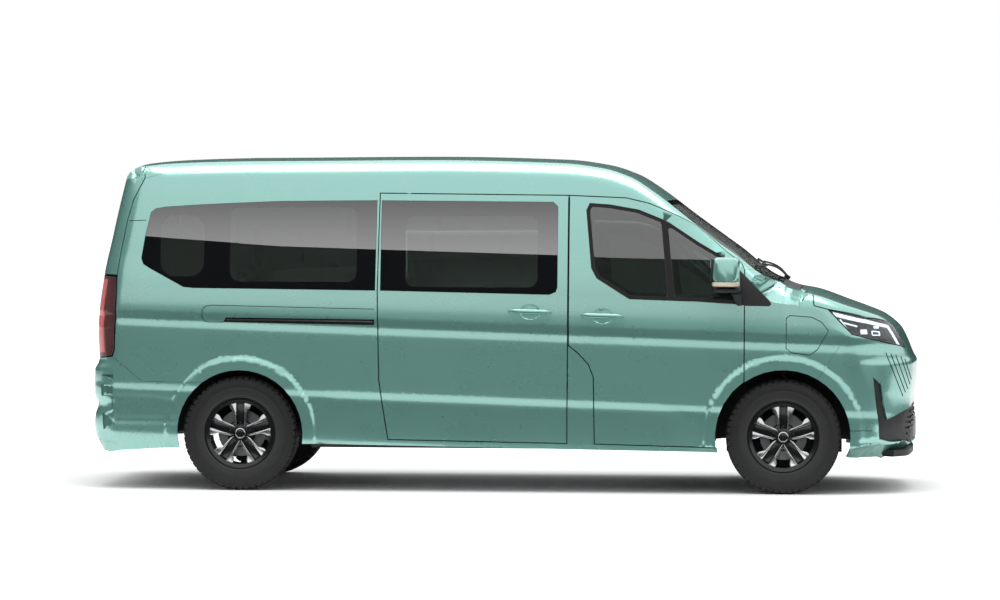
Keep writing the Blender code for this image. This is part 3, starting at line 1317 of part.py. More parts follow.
def make_running_gear():
    """Make the subframe, the knuckles, the rear axle, the battery pack and the drive unit."""
    ball, along, length = steer_axis()
    hub = HUB_FACE - HALF_TRACK
    tip = length - STRUT_TIP - 3 * SEAT
    middle = along * (TYRE_RADIUS - ball.z) + ball
    knuckle = combined([
        rod(ball, ball + along * length * STRUT_LAP_SHARES[1], STRUT_RADIUS),
        rod(ball + along * length * STRUT_LAP_SHARES[0], ball + along * (tip - STRUT_TIP),
            STRUT_RADIUS * PISTON_SHARE),
        rod(ball + along * (tip - 2 * STRUT_TIP), ball + along * tip, STRUT_TIP, 8),
        rod((FRONT_AXLE, middle.y + STRUT_RADIUS, TYRE_RADIUS), (FRONT_AXLE, hub, TYRE_RADIUS),
            CARRIER_RADIUS)])
    pair("knuckle", knuckle, "steel", tuple(ball))
    boss = rod(ball - along * SEAT, ball - along * ARM_WALL, STRUT_RADIUS)
    rail_top = SUBFRAME_TOP
    low = SUBFRAME_TOP - RAIL_SIZE
    front, rear = FRONT_AXLE + SUBFRAME_REACH, FRONT_AXLE - SUBFRAME_REACH
    arm_top = ball.z - ARM_WALL / 4
    solids = [box((front - RAIL_SIZE, -RAIL_OUT, low), (front, RAIL_OUT, rail_top)),
              box((rear, -RAIL_OUT, low), (rear + RAIL_SIZE, RAIL_OUT, rail_top)),
              box((FRONT_AXLE - RAIL_SIZE, -RAIL_OUT, low), (FRONT_AXLE + RAIL_SIZE, RAIL_OUT, rail_top))]
    for side in (-1, 1):
        inner, outer = sorted((side * (RAIL_OUT - RAIL_SIZE), side * RAIL_OUT))
        solids.append(box((rear, inner, low), (front, outer, rail_top)))
        solids.append(box((rear, inner, low), (rear + RAIL_SIZE, outer, FLOOR_TOP - FLOOR_WALL - SEAT)))
        inner, outer = sorted((side * (RAIL_OUT - RAIL_SIZE / 2), side * BALL_OUT))
        solids.append(box((FRONT_AXLE - ARM_HALF, inner, arm_top - ARM_WALL),
                          (FRONT_AXLE + ARM_HALF, outer, arm_top)))
        solids.append(boss if side < 0 else flipped(*boss))
    vertices, faces = rod(ball, ball + along * ARM_WALL * 2, STRUT_RADIUS * SOCKET_SHARE)
    socket = (vertices - np.array((0, 0, SEAT)), faces)
    frame = combined(solids)
    for tool in (socket, flipped(*socket)):
        frame = combined([frame, tool], "DIFFERENCE")
    place("front_subframe", *frame, "underbody")
    length, width, height = (size / 2 for size in DRIVE_SIZE)
    place("drive_unit", *box((FRONT_AXLE - length, -width, rail_top + SEAT),
                             (FRONT_AXLE + length, width, rail_top + 2 * height)), "steel")
    length, width, height = (size / 2 for size in BATTERY_SIZE)
    ceiling = FLOOR_TOP - FLOOR_WALL - SEAT
    place("battery_pack", *box((BATTERY_PLACE - length, -width, ceiling - 2 * height),
                               (BATTERY_PLACE + length, width, ceiling)), "underbody")
    beam = [rod((REAR_AXLE, hub, TYRE_RADIUS), (REAR_AXLE, -hub, TYRE_RADIUS), CARRIER_RADIUS)]
    for side in (-1, 1):
        start = (REAR_AXLE, side * ARM_OUT, TYRE_RADIUS)
        end = (REAR_AXLE + TRAILING_LENGTH, side * ARM_OUT, TYRE_RADIUS)
        beam.append(rod(start, end, CARRIER_RADIUS * TUBE_SHARE))
        beam.append(rod(end, (end[0], end[1], ceiling), CARRIER_RADIUS * TUBE_SHARE))
    place("rear_axle", *combined(beam), "underbody")


def seat(place_x, place_y, width, rests):
    """Return a seat or bench: cushion, back, head rests and a plain base."""
    low, high = place_y - width / 2, place_y + width / 2
    inset = width * FOOT_INSET_SHARE

    def profile(shares):
        return [(place_x + x * SEAT_LENGTH, FLOOR_TOP + z * SEAT_HEIGHT) for x, z in shares]
    solids = [prism(profile(CUSHION_SHARES), low, high, "Y"), prism(profile(BACK_SHARES), low, high, "Y"),
              prism(profile(BASE_SHARES), low + inset, high - inset, "Y")]
    solids[2][0][:, 2] = np.maximum(solids[2][0][:, 2], FLOOR_TOP + SEAT)
    for number in range(rests):
        middle = low + width * (number + 0.5) / rests
        solids.append(prism(profile(REST_SHARES), middle - REST_WIDTH / 2, middle + REST_WIDTH / 2, "Y"))
    return combined(solids)


def make_cabin():
    """Make the seats, the dashboard and the steering wheel."""
    front = float(x_at(FRONT_SEAT_SHARE))
    place("driver_seat", *seat(front, DRIVER_OUT, SEAT_WIDTH, 1), "seat")
    place("passenger_seat", *seat(front, -DRIVER_OUT, SEAT_WIDTH, 1), "seat")
    benches = (("second_bench", SECOND_SHARE, BENCH_WIDTH), ("third_bench", THIRD_SHARE, REAR_BENCH_WIDTH))
    for name, share, width in benches:
        place(name, *seat(float(x_at(share)), 0, width, 3), "seat")
    along = Vector((math.cos(COLUMN_ANGLE), 0, -math.sin(COLUMN_ANGLE)))
    centre = Vector(STEERING_CENTRE)
    outline = [(min(float(x_at(x)), FIREWALL - SEAT), FLOOR_TOP + z * SEAT_HEIGHT) for x, z in DASH_SHARES]
    dash = prism(outline, -DASH_HALF, DASH_HALF, "Y")
    column = rod(centre + along * (HUB_DEPTH + SEAT), centre + along * COLUMN_LENGTH, COLUMN_RADIUS)
    place("dashboard", *combined([dash, column]), "trim")
    ring = [(WHEEL_RING + GRIP_RADIUS * math.cos(a), GRIP_RADIUS * math.sin(a))
            for a in np.radians(np.arange(6) * 60)]
    solids = [turned(ring, WHEEL_SEGMENTS, centre, along),
              rod(centre - along * GRIP_RADIUS, centre + along * HUB_DEPTH, WHEEL_HUB)]
    first = Vector((0, 1, 0))
    second = along.cross(first)
    for angle in (0, 180, 270):
        turn = math.radians(angle)
        out = first * math.cos(turn) + second * math.sin(turn)
        solids.append(rod(centre, centre + out * WHEEL_RING, GRIP_RADIUS * TUBE_SHARE, 8))
    place("steering_wheel", *combined(solids), "trim", tuple(centre))


def make_mirrors(door):
    """Make the door mirrors on their feet."""
    low, high = MIRROR_FRONT - MIRROR_DEPTH, MIRROR_FRONT
    foot_low, foot_high = MIRROR_BOTTOM - 2 * MIRROR_FOOT, MIRROR_BOTTOM + MIRROR_FOOT / 2
    rear, front = MIRROR_FOOT_SPAN
    face = min(reach(door, (x, -2 * HALF_WIDTH, z), (0, 1, 0))[1]
               for x in (rear, front) for z in (foot_low, MIRROR_BOTTOM, foot_high))
    foot = box((rear, face - MIRROR_GAP - MIRROR_FOOT, foot_low), (front, face - SEAT, foot_high))
    near = face - MIRROR_GAP
    chamfer = MIRROR_FOOT / 2
    outline = [(low, MIRROR_BOTTOM), (high - chamfer, MIRROR_BOTTOM), (high, MIRROR_BOTTOM + chamfer),
               (high - chamfer / 2, MIRROR_TOP - chamfer), (high - 2 * chamfer, MIRROR_TOP),
               (low + chamfer, MIRROR_TOP), (low, MIRROR_TOP - chamfer)]
    head = prism(outline, near - MIRROR_WIDTH, near, "Y")
    pair("mirror", combined([head, foot]), "gloss_black", DOOR_HINGE)


def main():
    """Make the whole minibus."""
    for old in list(bpy.data.objects):
        bpy.data.objects.remove(old)
    make_finishes()
    panels = make_shell()
    make_posts(panels)
    make_floor(panels)
    make_wheelhouses(panels)
    make_wheels()
    make_running_gear()
    make_cabin()
    make_mirrors(panels["front_door"])


LINES = lines()

if __name__ == "__main__":
    main()
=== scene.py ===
"""Looks of a high-roof minibus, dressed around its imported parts.

Metres, +X forward, +Z up, the vehicle's right side at -Y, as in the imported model.
"""
import json
import math

import bmesh
import bpy
import numpy as np
from mathutils import Matrix, Vector
from mathutils.bvhtree import BVHTree

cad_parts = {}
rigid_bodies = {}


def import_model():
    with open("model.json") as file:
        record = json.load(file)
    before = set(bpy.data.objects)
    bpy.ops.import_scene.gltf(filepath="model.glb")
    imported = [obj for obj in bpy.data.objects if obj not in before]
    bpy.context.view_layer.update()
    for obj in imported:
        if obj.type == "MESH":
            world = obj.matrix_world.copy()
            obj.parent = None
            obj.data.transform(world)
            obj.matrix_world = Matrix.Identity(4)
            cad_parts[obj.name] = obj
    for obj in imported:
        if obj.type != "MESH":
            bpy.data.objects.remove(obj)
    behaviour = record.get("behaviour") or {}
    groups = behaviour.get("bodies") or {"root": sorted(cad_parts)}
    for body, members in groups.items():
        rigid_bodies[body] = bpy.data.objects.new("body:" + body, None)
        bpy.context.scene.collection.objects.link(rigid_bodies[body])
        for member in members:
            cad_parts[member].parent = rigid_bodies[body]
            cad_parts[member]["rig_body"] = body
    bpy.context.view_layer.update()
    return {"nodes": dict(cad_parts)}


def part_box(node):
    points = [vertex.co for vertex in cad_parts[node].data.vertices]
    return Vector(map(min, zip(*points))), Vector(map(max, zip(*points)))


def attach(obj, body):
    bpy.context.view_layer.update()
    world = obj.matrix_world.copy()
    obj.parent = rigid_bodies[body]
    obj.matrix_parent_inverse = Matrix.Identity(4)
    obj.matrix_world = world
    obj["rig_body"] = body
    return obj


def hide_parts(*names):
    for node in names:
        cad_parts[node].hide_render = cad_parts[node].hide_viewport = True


bl_info = {
    "name": "High-roof minibus",
    "version": (1, 0, 0),
    "blender": (4, 5, 0),
    "location": "3D View > Sidebar > Minibus",
    "description": "Dresses the packed minibus with panels, glass, wheels, lamps, trim and seats",
    "category": "Object",
}

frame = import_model()
NODES = frame["nodes"]

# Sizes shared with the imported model
WHEELBASE = 3.45
FRONT_OVERHANG = 0.855
REAR_OVERHANG = 0.985
HEIGHT = 2.13
HALF_WIDTH = 0.955
TAIL = -(REAR_OVERHANG + WHEELBASE + FRONT_OVERHANG) / 2
REAR_AXLE = TAIL + REAR_OVERHANG
FRONT_AXLE = REAR_AXLE + WHEELBASE
TYRE_RADIUS = 0.362
HALF_TRACK = 0.82
EDGE_RADIUS = 0.085
END_EDGE_RADIUS = 0.03
NOSE_CORNER_RADIUS = 0.26
TAIL_CORNER_RADIUS = 0.14
ROOF_CROWN = 0.045
BONNET_CROWN = 0.025
SCREEN_SWEEP = 0.04
NOSE_BULGE = 0.10
TAIL_BULGE = 0.035
CAB_TAPER = 0.04
ARCH_FLARE = 0.014
FRONT_ARCH = TYRE_RADIUS + 0.062
REAR_ARCH = TYRE_RADIUS + 0.041
FLARE_BAND = 0.085
RAKE_SHARE = 0.033
CENTRELINE_SHARES = (
    (-0.744, 0.965), (-0.680, 0.978), (-0.396, 0.989), (0.078, 0.996), (0.365, 1.000), (0.590, 0.992),
    (0.668, 0.976), (0.723, 0.947), (0.763, 0.908), (0.838, 0.818), (0.914, 0.730), (0.999, 0.634),
    (1.110, 0.613), (1.261, 0.601), (1.489, 0.569), (1.717, 0.535), (1.823, 0.515), (1.947, 0.488))
NOSE_SHARES = (
    (0.105, 1.807), (0.122, 1.947), (0.140, 2.000), (0.164, 1.971), (0.214, 1.991), (0.277, 1.980),
    (0.308, 1.989), (0.366, 2.000), (0.387, 2.000), (0.408, 1.975), (0.451, 1.930), (0.486, 1.884),
    (0.515, 1.823), (0.610, 1.632))
TAIL_SHARES = (
    (0.124, -0.954), (0.159, -0.990), (0.190, -1.000), (0.221, -0.993), (0.252, -0.973), (0.282, -0.995),
    (0.329, -0.998), (0.357, -0.995), (0.385, -0.966), (0.469, -0.973), (0.639, -0.935), (0.751, -0.885),
    (0.864, -0.832), (0.965, -0.780), (1.033, -0.741))
SECTION_SHARES = (
    (0.103, 0.953), (0.141, 0.973), (0.235, 0.992), (0.263, 0.996), (0.282, 0.9895), (0.376, 0.9916),
    (0.451, 0.994), (0.479, 0.987), (0.502, 1.000), (0.596, 0.987), (0.728, 0.954), (0.869, 0.908),
    (0.953, 0.872), (1.009, 0.843))
PLAN_SHARES = (
    (-1.000, 0.922), (-0.650, 0.953), (0.000, 0.987), (0.249, 1.000), (0.655, 1.000), (0.916, 0.992),
    (1.129, 0.977), (1.480, 0.948), (2.000, 0.853))

# How points are moved on to the body surface. The skirt below SKIRT_TOP stays where it is packed
EPSILON = 1e-4
SETTLE_ROUNDS = 12
SETTLE_REACH = 0.03
SETTLED = 0.0003
SKIRT_TOP = 0.305
SHADE_REACH = 0.012

# An outer face lies at most this far from the surface, and its normal agrees with the surface's by FACING
SHALLOW = 0.0046
DEEP = 0.009
FACING = 0.55
WELD = 2e-5

# Camera
CAMERA_PLACE = (2.121, -28.96, 1.952)
CAMERA_AIM = (0.0005, -0.96, 1.2202)
CAMERA_ROLL = math.radians(0.164)
CAMERA_LENS = 160.0

# Border of the bright sky that the side glass mirrors, in (x, z), and how the panes lean at and above it
MIRROR_BORDER = (
    (-2.272, 1.628), (-1.407, 1.561), (-0.512, 1.533), (0.364, 1.505), (0.70, 1.487), (1.5, 1.470))
BORDER_TILT = 2.735
# Heights over which the side glass's IOR falls to a share of its own, a painted reflection that is weaker
# towards the top of the pane
REFLECTION_FADE_HEIGHTS = (1.52, 1.86)
REFLECTION_FADE_SHARE = 0.66
TILT_RATE = 7.0

# Studio: the dark wall's radius, its tops as (bearing in degrees, height) and the half side of the floor
WALL_RADIUS = 60.0
WALL_TOPS = (
    (-180, 26.0), (-126, 26.0), (-112, 6.2), (-84, 6.2), (-72, 3.0), (-20, 3.0), (0, 12.0), (180, 26.0))
FLOOR_REACH = 140.0

# Lines and places on the body, seen from the right side, in (x, z)
CREASES = (
    (((-1.126, 0.574), (-0.648, 0.558), (0.987, 0.499), (1.218, 0.394)), 0.0035, 0.07),
    (((2.244, 0.960), (2.264, 0.832), (2.321, 0.693), (2.347, 0.567), (2.362, 0.380)), 0.006, 0.09),
    (((-2.48, 0.584), (-2.368, 0.582), (-2.206, 0.577), (-2.10, 0.56)), 0.004, 0.035),
    (((-2.48, 0.445), (-2.207, 0.443), (-2.043, 0.445)), 0.004, 0.035),
)
RAIL_SLOT = ((-1.768, 1.070), (-0.801, 1.056), (-0.801, 1.092), (-1.748, 1.101))
RAIL_COVER = (
    (-0.801, 1.158), (-1.840, 1.178), (-1.880, 1.172), (-1.901, 1.150), (-1.903, 1.100), (-1.890, 1.076),
    (-1.862, 1.070), (-1.768, 1.070))
QUARTER_SEAM = ((-2.385, 1.712), (-2.275, 1.716))
BUMPER_SEAM = ((2.212, 0.404), (2.346, 0.404))
NOSE_GROOVES = (
    ((2.434, 0.893), (2.544, 0.617)), ((2.466, 0.886), (2.560, 0.640)), ((2.497, 0.879), (2.575, 0.662)),
    ((2.530, 0.868), (2.589, 0.690)), ((2.556, 0.850), (2.598, 0.720)))
GROOVE_WIDTH = 0.0045
NOSE_GROOVE_WIDTH = GROOVE_WIDTH * 1.3
GROOVE_DEPTH = 0.004
SLOT_DEPTH = 0.016
HANDLES = (("sliding_door", 0.190, 1.146), ("front_door", 0.648, 1.122))
HANDLE_LENGTH = 0.272
BOWL_SIZE = (0.066, 0.050)
BOWL_DEPTH = 0.013
FLANK_PATCH = ((1.512, 1.415), (1.625, 1.300), (1.706, 1.218), (1.712, 1.198), (1.698, 1.188), (1.545, 1.190),
               (1.512, 1.200))
CLEAR_BOXES = {
    "side_glass": (((-2.175, -1.895), (1.36, 1.75), 0.09), ((-1.725, -0.915), (1.33, 1.80), 0.06)),
    "sliding_glass": (((-0.605, 0.235), (1.30, 1.75), 0.06),),
}
QUARTER_BAR = ((1.037, 1.700), (1.083, 1.220))
BAR_HALF = 0.020
PANE_BORDERS = {"front_glass": 0.022, "windscreen": 0.045, "tailgate_glass": 0.05, "headlamp": 0.007,
                "tail_lamp": 0.010}
LAMP_STRIPS = (
    (((2.100, 1.143), (2.199, 1.120), (2.352, 1.087), (2.446, 1.066), (2.462, 1.058)), 0.024),
    (((2.452, 1.064), (2.483, 1.017), (2.527, 0.937)), 0.022),
    (((2.146, 1.108), (2.213, 1.018)), 0.010),
    (((2.170, 1.086), (2.257, 1.066)), 0.009),
)
LAMP_BLOCKS = (((2.279, 2.319), (1.016, 1.046)), ((2.364, 2.392), (1.052, 1.068)))
LAMP_SINK = 0.016
LAMP_COVER = 0.0025
LAMP_RING = ((2.350, 1.036), (2.398, 1.030), (2.402, 1.008), (2.356, 1.010))
TAIL_STRIP = ((0.838, 1.338), (0.846, 1.22), (0.853, 1.10), (0.856, 0.98), (0.858, 0.855))

# Wheels, round the origin with the outside towards -Y
SPOKE_PAIRS = 5
SPOKE_OUTLINE = (
    (0.021, 0.034), (0.026, 0.110), (0.026, 0.203), (0.050, 0.200), (0.073, 0.191), (0.066, 0.163),
    (0.041, 0.134), (0.034, 0.060))
WEB_OUTLINE = ((-0.028, 0.030), (0.028, 0.030), (0.030, 0.200), (0.0, 0.204), (-0.030, 0.200))
SPOKE_FACE = -0.084
SPOKE_BACK = -0.055
WEB_FACE = -0.068
NUT_RING = 0.066
RIM_HALF = 0.0985
TYRE_PROFILE = (
    (0.2068, 0.0880), (0.2262, 0.0890), (0.2272, 0.0985), (0.2300, 0.1036), (0.2345, 0.1062),
    (0.2400, 0.1066), (0.2440, 0.1048), (0.2560, 0.1062), (0.2740, 0.1072), (0.2900, 0.1068),
    (0.2925, 0.1054), (0.2955, 0.1054), (0.2980, 0.1062), (0.3160, 0.1042), (0.3260, 0.1022),
    (0.3275, 0.1002), (0.3420, 0.0950), (0.3490, 0.0880), (0.3535, 0.0790), (0.3545, 0.0600),
    (0.3545, 0.0530), (0.3480, 0.0515), (0.3480, 0.0435), (0.3555, 0.0420), (0.3560, 0.0190),
    (0.3490, 0.0175), (0.3490, 0.0100), (0.3560, 0.0085), (0.3560, 0.0))
# Rise from the middle, width, number of blocks and skew of each tread row
TREAD_ROWS = ((0.0655, 0.024, 52, 0.25), (0.0305, 0.021, 60, -0.3), (0.0, 0.014, 66, 0.2))

# Seats: outlines in shares of the seat's length and height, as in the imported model
FLOOR_TOP = 0.46
SEAT_LENGTH = 0.60
SEAT_HEIGHT = 1.08
CUSHION_SHARES = ((0.03, 0.29), (0.84, 0.30), (0.87, 0.37), (0.79, 0.405), (0.16, 0.39))
BACK_SHARES = ((0.00, 0.34), (0.14, 0.41), (0.01, 0.82), (-0.10, 0.85), (-0.17, 0.81), (-0.10, 0.40))
REST_SHARES = ((-0.09, 0.88), (-0.02, 0.88), (-0.03, 0.98), (-0.09, 0.995), (-0.16, 0.97), (-0.15, 0.89))
# Name, station share, place along Y, width and number of places
SEAT_ROWS = (
    ("driver_seat", 0.60, 0.42, 0.52, 1), ("passenger_seat", 0.60, -0.42, 0.52, 1),
    ("second_bench", 0.30, 0.0, 1.45, 3), ("third_bench", 0.02, 0.0, 1.22, 3))
REST_WIDTH = 0.25
PLACE_GAP = 0.014
STEERING_CENTRE = Vector((1.02, 0.42, 1.09))
HOOD_OUTLINE = ((0.03, 1.13), (0.19, 1.165), (0.19, 1.19), (0.02, 1.205))
CONSOLE_OUTLINE = ((-0.10, 0.90), (0.06, 1.03), (0.10, 0.90), (0.05, 0.80))
COLUMN_ANGLE = math.radians(30)


class MinibusSizes(bpy.types.PropertyGroup):
    """Sizes that a user may change before the pieces are made."""

    skin_step: bpy.props.FloatProperty(
        name="Skin step", description="Longest edge on the body skin", default=0.03, min=0.012,
        unit="LENGTH")
    lamp_step: bpy.props.FloatProperty(
        name="Lamp step", description="Longest edge on the lamps", default=0.008, min=0.004, unit="LENGTH")
    pad_voxel: bpy.props.FloatProperty(
        name="Pad voxel", description="Voxel size of the seat pads", default=0.013, min=0.006, unit="LENGTH")
    pad_swell: bpy.props.FloatProperty(
        name="Pad swell", description="Furthest that a point of a pad may move", default=0.024, min=0.0,
        unit="LENGTH")
    tread_depth: bpy.props.FloatProperty(
        name="Tread depth", description="Height of the tread blocks", default=0.007, min=0.001,
        unit="LENGTH")


class MinibusColours(bpy.types.PropertyGroup):
    """Colours that a user may change before the pieces are made."""

    paint: bpy.props.FloatVectorProperty(
        name="Paint", description="Body colour", subtype="COLOR", size=3, default=(0.27, 0.60, 0.53),
        min=0, max=1)
    trim: bpy.props.FloatVectorProperty(
        name="Trim", description="Moulded plastic", subtype="COLOR", size=3, default=(0.020, 0.020, 0.022),
        min=0, max=1)
    cloth: bpy.props.FloatVectorProperty(
        name="Cloth", description="Seat cloth", subtype="COLOR", size=3, default=(0.20, 0.215, 0.21),
        min=0, max=1)
    tint: bpy.props.FloatVectorProperty(
        name="Tint", description="Tint of the side glass", subtype="COLOR", size=3,
        default=(0.10, 0.125, 0.11), min=0, max=1)


def sizes():
    """Return the sizes of the open scene."""
    return bpy.context.scene.minibus_sizes


def colours():
    """Return the colours of the open scene."""
    return bpy.context.scene.minibus_colours


# The body surface


def x_at(share):
    """Return the place along X of a station share."""
    share = np.asarray(share, float)
    inner = REAR_AXLE + share * WHEELBASE
    rear = REAR_AXLE + share * REAR_OVERHANG
    front = FRONT_AXLE + (share - 1) * FRONT_OVERHANG
    return np.where(share < 0, rear, np.where(share > 1, front, inner))


def share_at(x):
    """Return the station share of a place along X."""
    inner = (x - REAR_AXLE) / WHEELBASE
    rear = (x - REAR_AXLE) / REAR_OVERHANG
    front = 1 + (x - FRONT_AXLE) / FRONT_OVERHANG
    return np.where(x < REAR_AXLE, rear, np.where(x > FRONT_AXLE, front, inner))


def smooth_curve(table):
    """Return a smooth function through the rows of a two-column table."""
    knots, values = np.array(table, float).T
    widths = np.diff(knots)
    slopes = np.diff(values) / widths
    product = slopes[:-1] * slopes[1:]
    total = np.where(product > 0, slopes[:-1] + slopes[1:], 1)
    inner = np.where(product > 0, 2 * product / total, 0)
    tangents = np.concatenate((slopes[:1], inner, slopes[-1:]))

    def value(at):
        i = np.clip(np.searchsorted(knots, at) - 1, 0, len(widths) - 1)
        t = (at - knots[i]) / widths[i]
        clipped = np.clip(t, 0, 1)
        a = clipped * clipped * (3 - 2 * clipped)
        b = clipped * (1 - clipped) ** 2 * widths[i] * tangents[i]
        c = clipped * clipped * (clipped - 1) * widths[i] * tangents[i + 1]
        inside = values[i] * (1 - a) + values[i + 1] * a + b + c
        outside = np.where(t < 0, t * tangents[i], np.where(t > 1, (t - 1) * tangents[i + 1], 0))
        return inside + outside * widths[i]
    return value


CENTRELINE = smooth_curve(CENTRELINE_SHARES)
NOSE = smooth_curve(NOSE_SHARES)
TAIL_CURVE = smooth_curve(TAIL_SHARES)
SECTION = smooth_curve(SECTION_SHARES)
PLAN = smooth_curve(PLAN_SHARES)


def ramp(value, low, high):
    """Return 0 below low, 1 above high and a smooth step between."""
    t = np.clip((value - low) / (high - low), 0, 1)
    return t * t * (3 - 2 * t)


def round_corner(a, b, radius):
    """Join two fields that are negative inside with a rounded corner."""
    u = np.maximum(a + radius, 0)
    v = np.maximum(b + radius, 0)
    return np.minimum(np.maximum(a, b), -radius) + np.hypot(u, v)


def half_width(x, z):
    """Return the half width of the body at places along X and Z."""
    share = share_at(x)
    height = z / HEIGHT
    raked = height + RAKE_SHARE * x / HEIGHT * np.clip((0.70 - height) / 0.19, 0, 1)
    width = HALF_WIDTH * (SECTION(raked) + PLAN(share) - 1)
    width -= CAB_TAPER * ramp(share, 0.70, 1.05) * ramp(height, 0.58, 0.80)
    for axle, arch in ((REAR_AXLE, REAR_ARCH), (FRONT_AXLE, FRONT_ARCH)):
        distance = np.hypot(x - axle, z - TYRE_RADIUS)
        edge = arch + FLARE_BAND
        width += ARCH_FLARE * (1 - ramp(distance, edge - ARCH_FLARE, edge))
    return width


def slope_of(curve, share, step, scale):
    """Return the slope of a share curve, where scale turns a unit of it into a plain ratio."""
    return (curve(share + step) - curve(share - step)) / (2 * step) * scale


def body_field(points):
    """Return how far points lie outside the body surface, negative inside."""
    x, y, z = points.T
    share = share_at(x)
    height = z / HEIGHT
    across = (y / HALF_WIDTH) ** 2
    side = np.abs(y) - half_width(x, z)
    forward = ramp(share, 0.60, 0.80)
    swept = share_at(x + SCREEN_SWEEP * forward * across)
    crown = ROOF_CROWN + (BONNET_CROWN - ROOF_CROWN) * forward
    unit = np.where(x > FRONT_AXLE, FRONT_OVERHANG, np.where(x < REAR_AXLE, REAR_OVERHANG, WHEELBASE))
    fall = slope_of(CENTRELINE, swept, EPSILON, HEIGHT / unit)
    top = (z - HEIGHT * CENTRELINE(swept) + crown * across) / np.sqrt(1 + fall * fall)
    lean = slope_of(NOSE, height, EPSILON, FRONT_OVERHANG / HEIGHT)
    nose = (x - x_at(NOSE(height)) + NOSE_BULGE * across) / np.sqrt(1 + lean * lean)
    tail = x_at(TAIL_CURVE(height)) + TAIL_BULGE * across - x
    middle = ramp(share, -0.70, -0.45) * (1 - ramp(share, 1.05, 1.60))
    edge = END_EDGE_RADIUS + (EDGE_RADIUS - END_EDGE_RADIUS) * middle
    plan = round_corner(side, nose, NOSE_CORNER_RADIUS)
    plan = round_corner(plan, tail, TAIL_CORNER_RADIUS)
    return round_corner(plan, top, edge)


def unit(rows):
    """Return rows of vectors at unit length."""
    return rows / np.linalg.norm(rows, axis=-1, keepdims=True)


def gradient(field, points, step):
    """Return the unit directions in which a field grows."""
    return unit(np.stack([field(points + axis) - field(points - axis) for axis in np.eye(3) * step], axis=1))


def outward(points):
    """Return the outward unit normals of the body surface."""
    return gradient(body_field, points, EPSILON)


def settle(points):
    """Move points that lie near the body surface on to it, and leave alone those that don't get there."""
    moved = np.array(points, float)
    away = body_field(moved)
    for _ in range(SETTLE_ROUNDS):
        loose = np.abs(away) > SETTLED / 10
        if not loose.any():
            break
        moved[loose] -= outward(moved[loose]) * away[loose, None]
        away[loose] = body_field(moved[loose])
    arrived = (np.abs(away) < SETTLED) & (np.linalg.norm(moved - points, axis=1) < SETTLE_REACH)
    arrived &= points[:, 2] > SKIRT_TOP
    return np.where(arrived[:, None], moved, points)


def cast(origins, directions):
    """Follow rays from inside the body out to its surface."""
    low = np.zeros(len(origins))
    high = np.full(len(origins), 2 * (WHEELBASE + HEIGHT))
    for _ in range(40):
        middle = (low + high) / 2
        inside = body_field(origins + directions * middle[:, None]) < 0
        low = np.where(inside, middle, low)
        high = np.where(inside, high, middle)
    return origins + directions * low[:, None]


def seen_along(line, axis, start, sign):
    """Return the places and normals that pairs of coordinates reach from start along the third axis."""
    origins = np.insert(np.array(line, float), axis, start, axis=1)
    points = cast(origins, np.tile(np.eye(3)[axis] * sign, (len(origins), 1)))
    return points, outward(points)


def on_side(line):
    """Return the places and normals of the right side's surface at (x, z) pairs."""
    return seen_along(line, 1, 0.0, -1)


def on_end(line, forward):
    """Return the places and normals of the nose or tail at (y, z) pairs."""
    return seen_along(line, 0, float(x_at(0.9 if forward else 0.1)), 1 if forward else -1)


def on_top(line):
    """Return the places and normals of the surface seen from above at (x, y) pairs."""
    return seen_along(line, 2, HEIGHT / 3, 1)


def densified(line, step):
    """Return a polyline with points no further apart than step."""
    line = np.array(line, float)
    pieces = []
    for a, b in zip(line[:-1], line[1:]):
        count = max(1, math.ceil(np.linalg.norm(b - a) / step))
        pieces.append(a + (b - a) * (np.arange(count) / count)[:, None])
    return np.concatenate(pieces + [line[-1:]])


def distance_to_edges(points, edges):
    """Return the distance of points from the nearest of some edges."""
    best = np.full(len(points), np.inf)
    for a, b in edges:
        edge = b - a
        t = np.clip((points - a) @ edge / (edge @ edge), 0, 1)
        best = np.minimum(best, np.linalg.norm(points - a - t[:, None] * edge, axis=1))
    return best


def distance_to_line(points, line):
    """Return the distance of two-dimensional points from an open polyline."""
    line = np.array(line, float)
    return distance_to_edges(points, zip(line[:-1], line[1:]))


def relief(points):
    """Return how far the pressed creases stand out from the body surface."""
    flat = points[:, (0, 2)]
    raised = np.zeros(len(points))
    for line, rise, reach in CREASES:
        share = np.clip(1 - distance_to_line(flat, line) / reach, 0, 1)
        start = line[0][0]
        fade = ramp(flat[:, 0], start - 0.02, start + 0.12) if -1.5 < start < 0 else 1
        raised += rise * share * fade
    return raised


def shaped_normals(points):
    """Return the outward unit normals of the body surface with its creases, softened over a short reach."""
    return gradient(lambda places: body_field(places) - relief(places), points, SHADE_REACH)


# Materials


FINISHES = {}


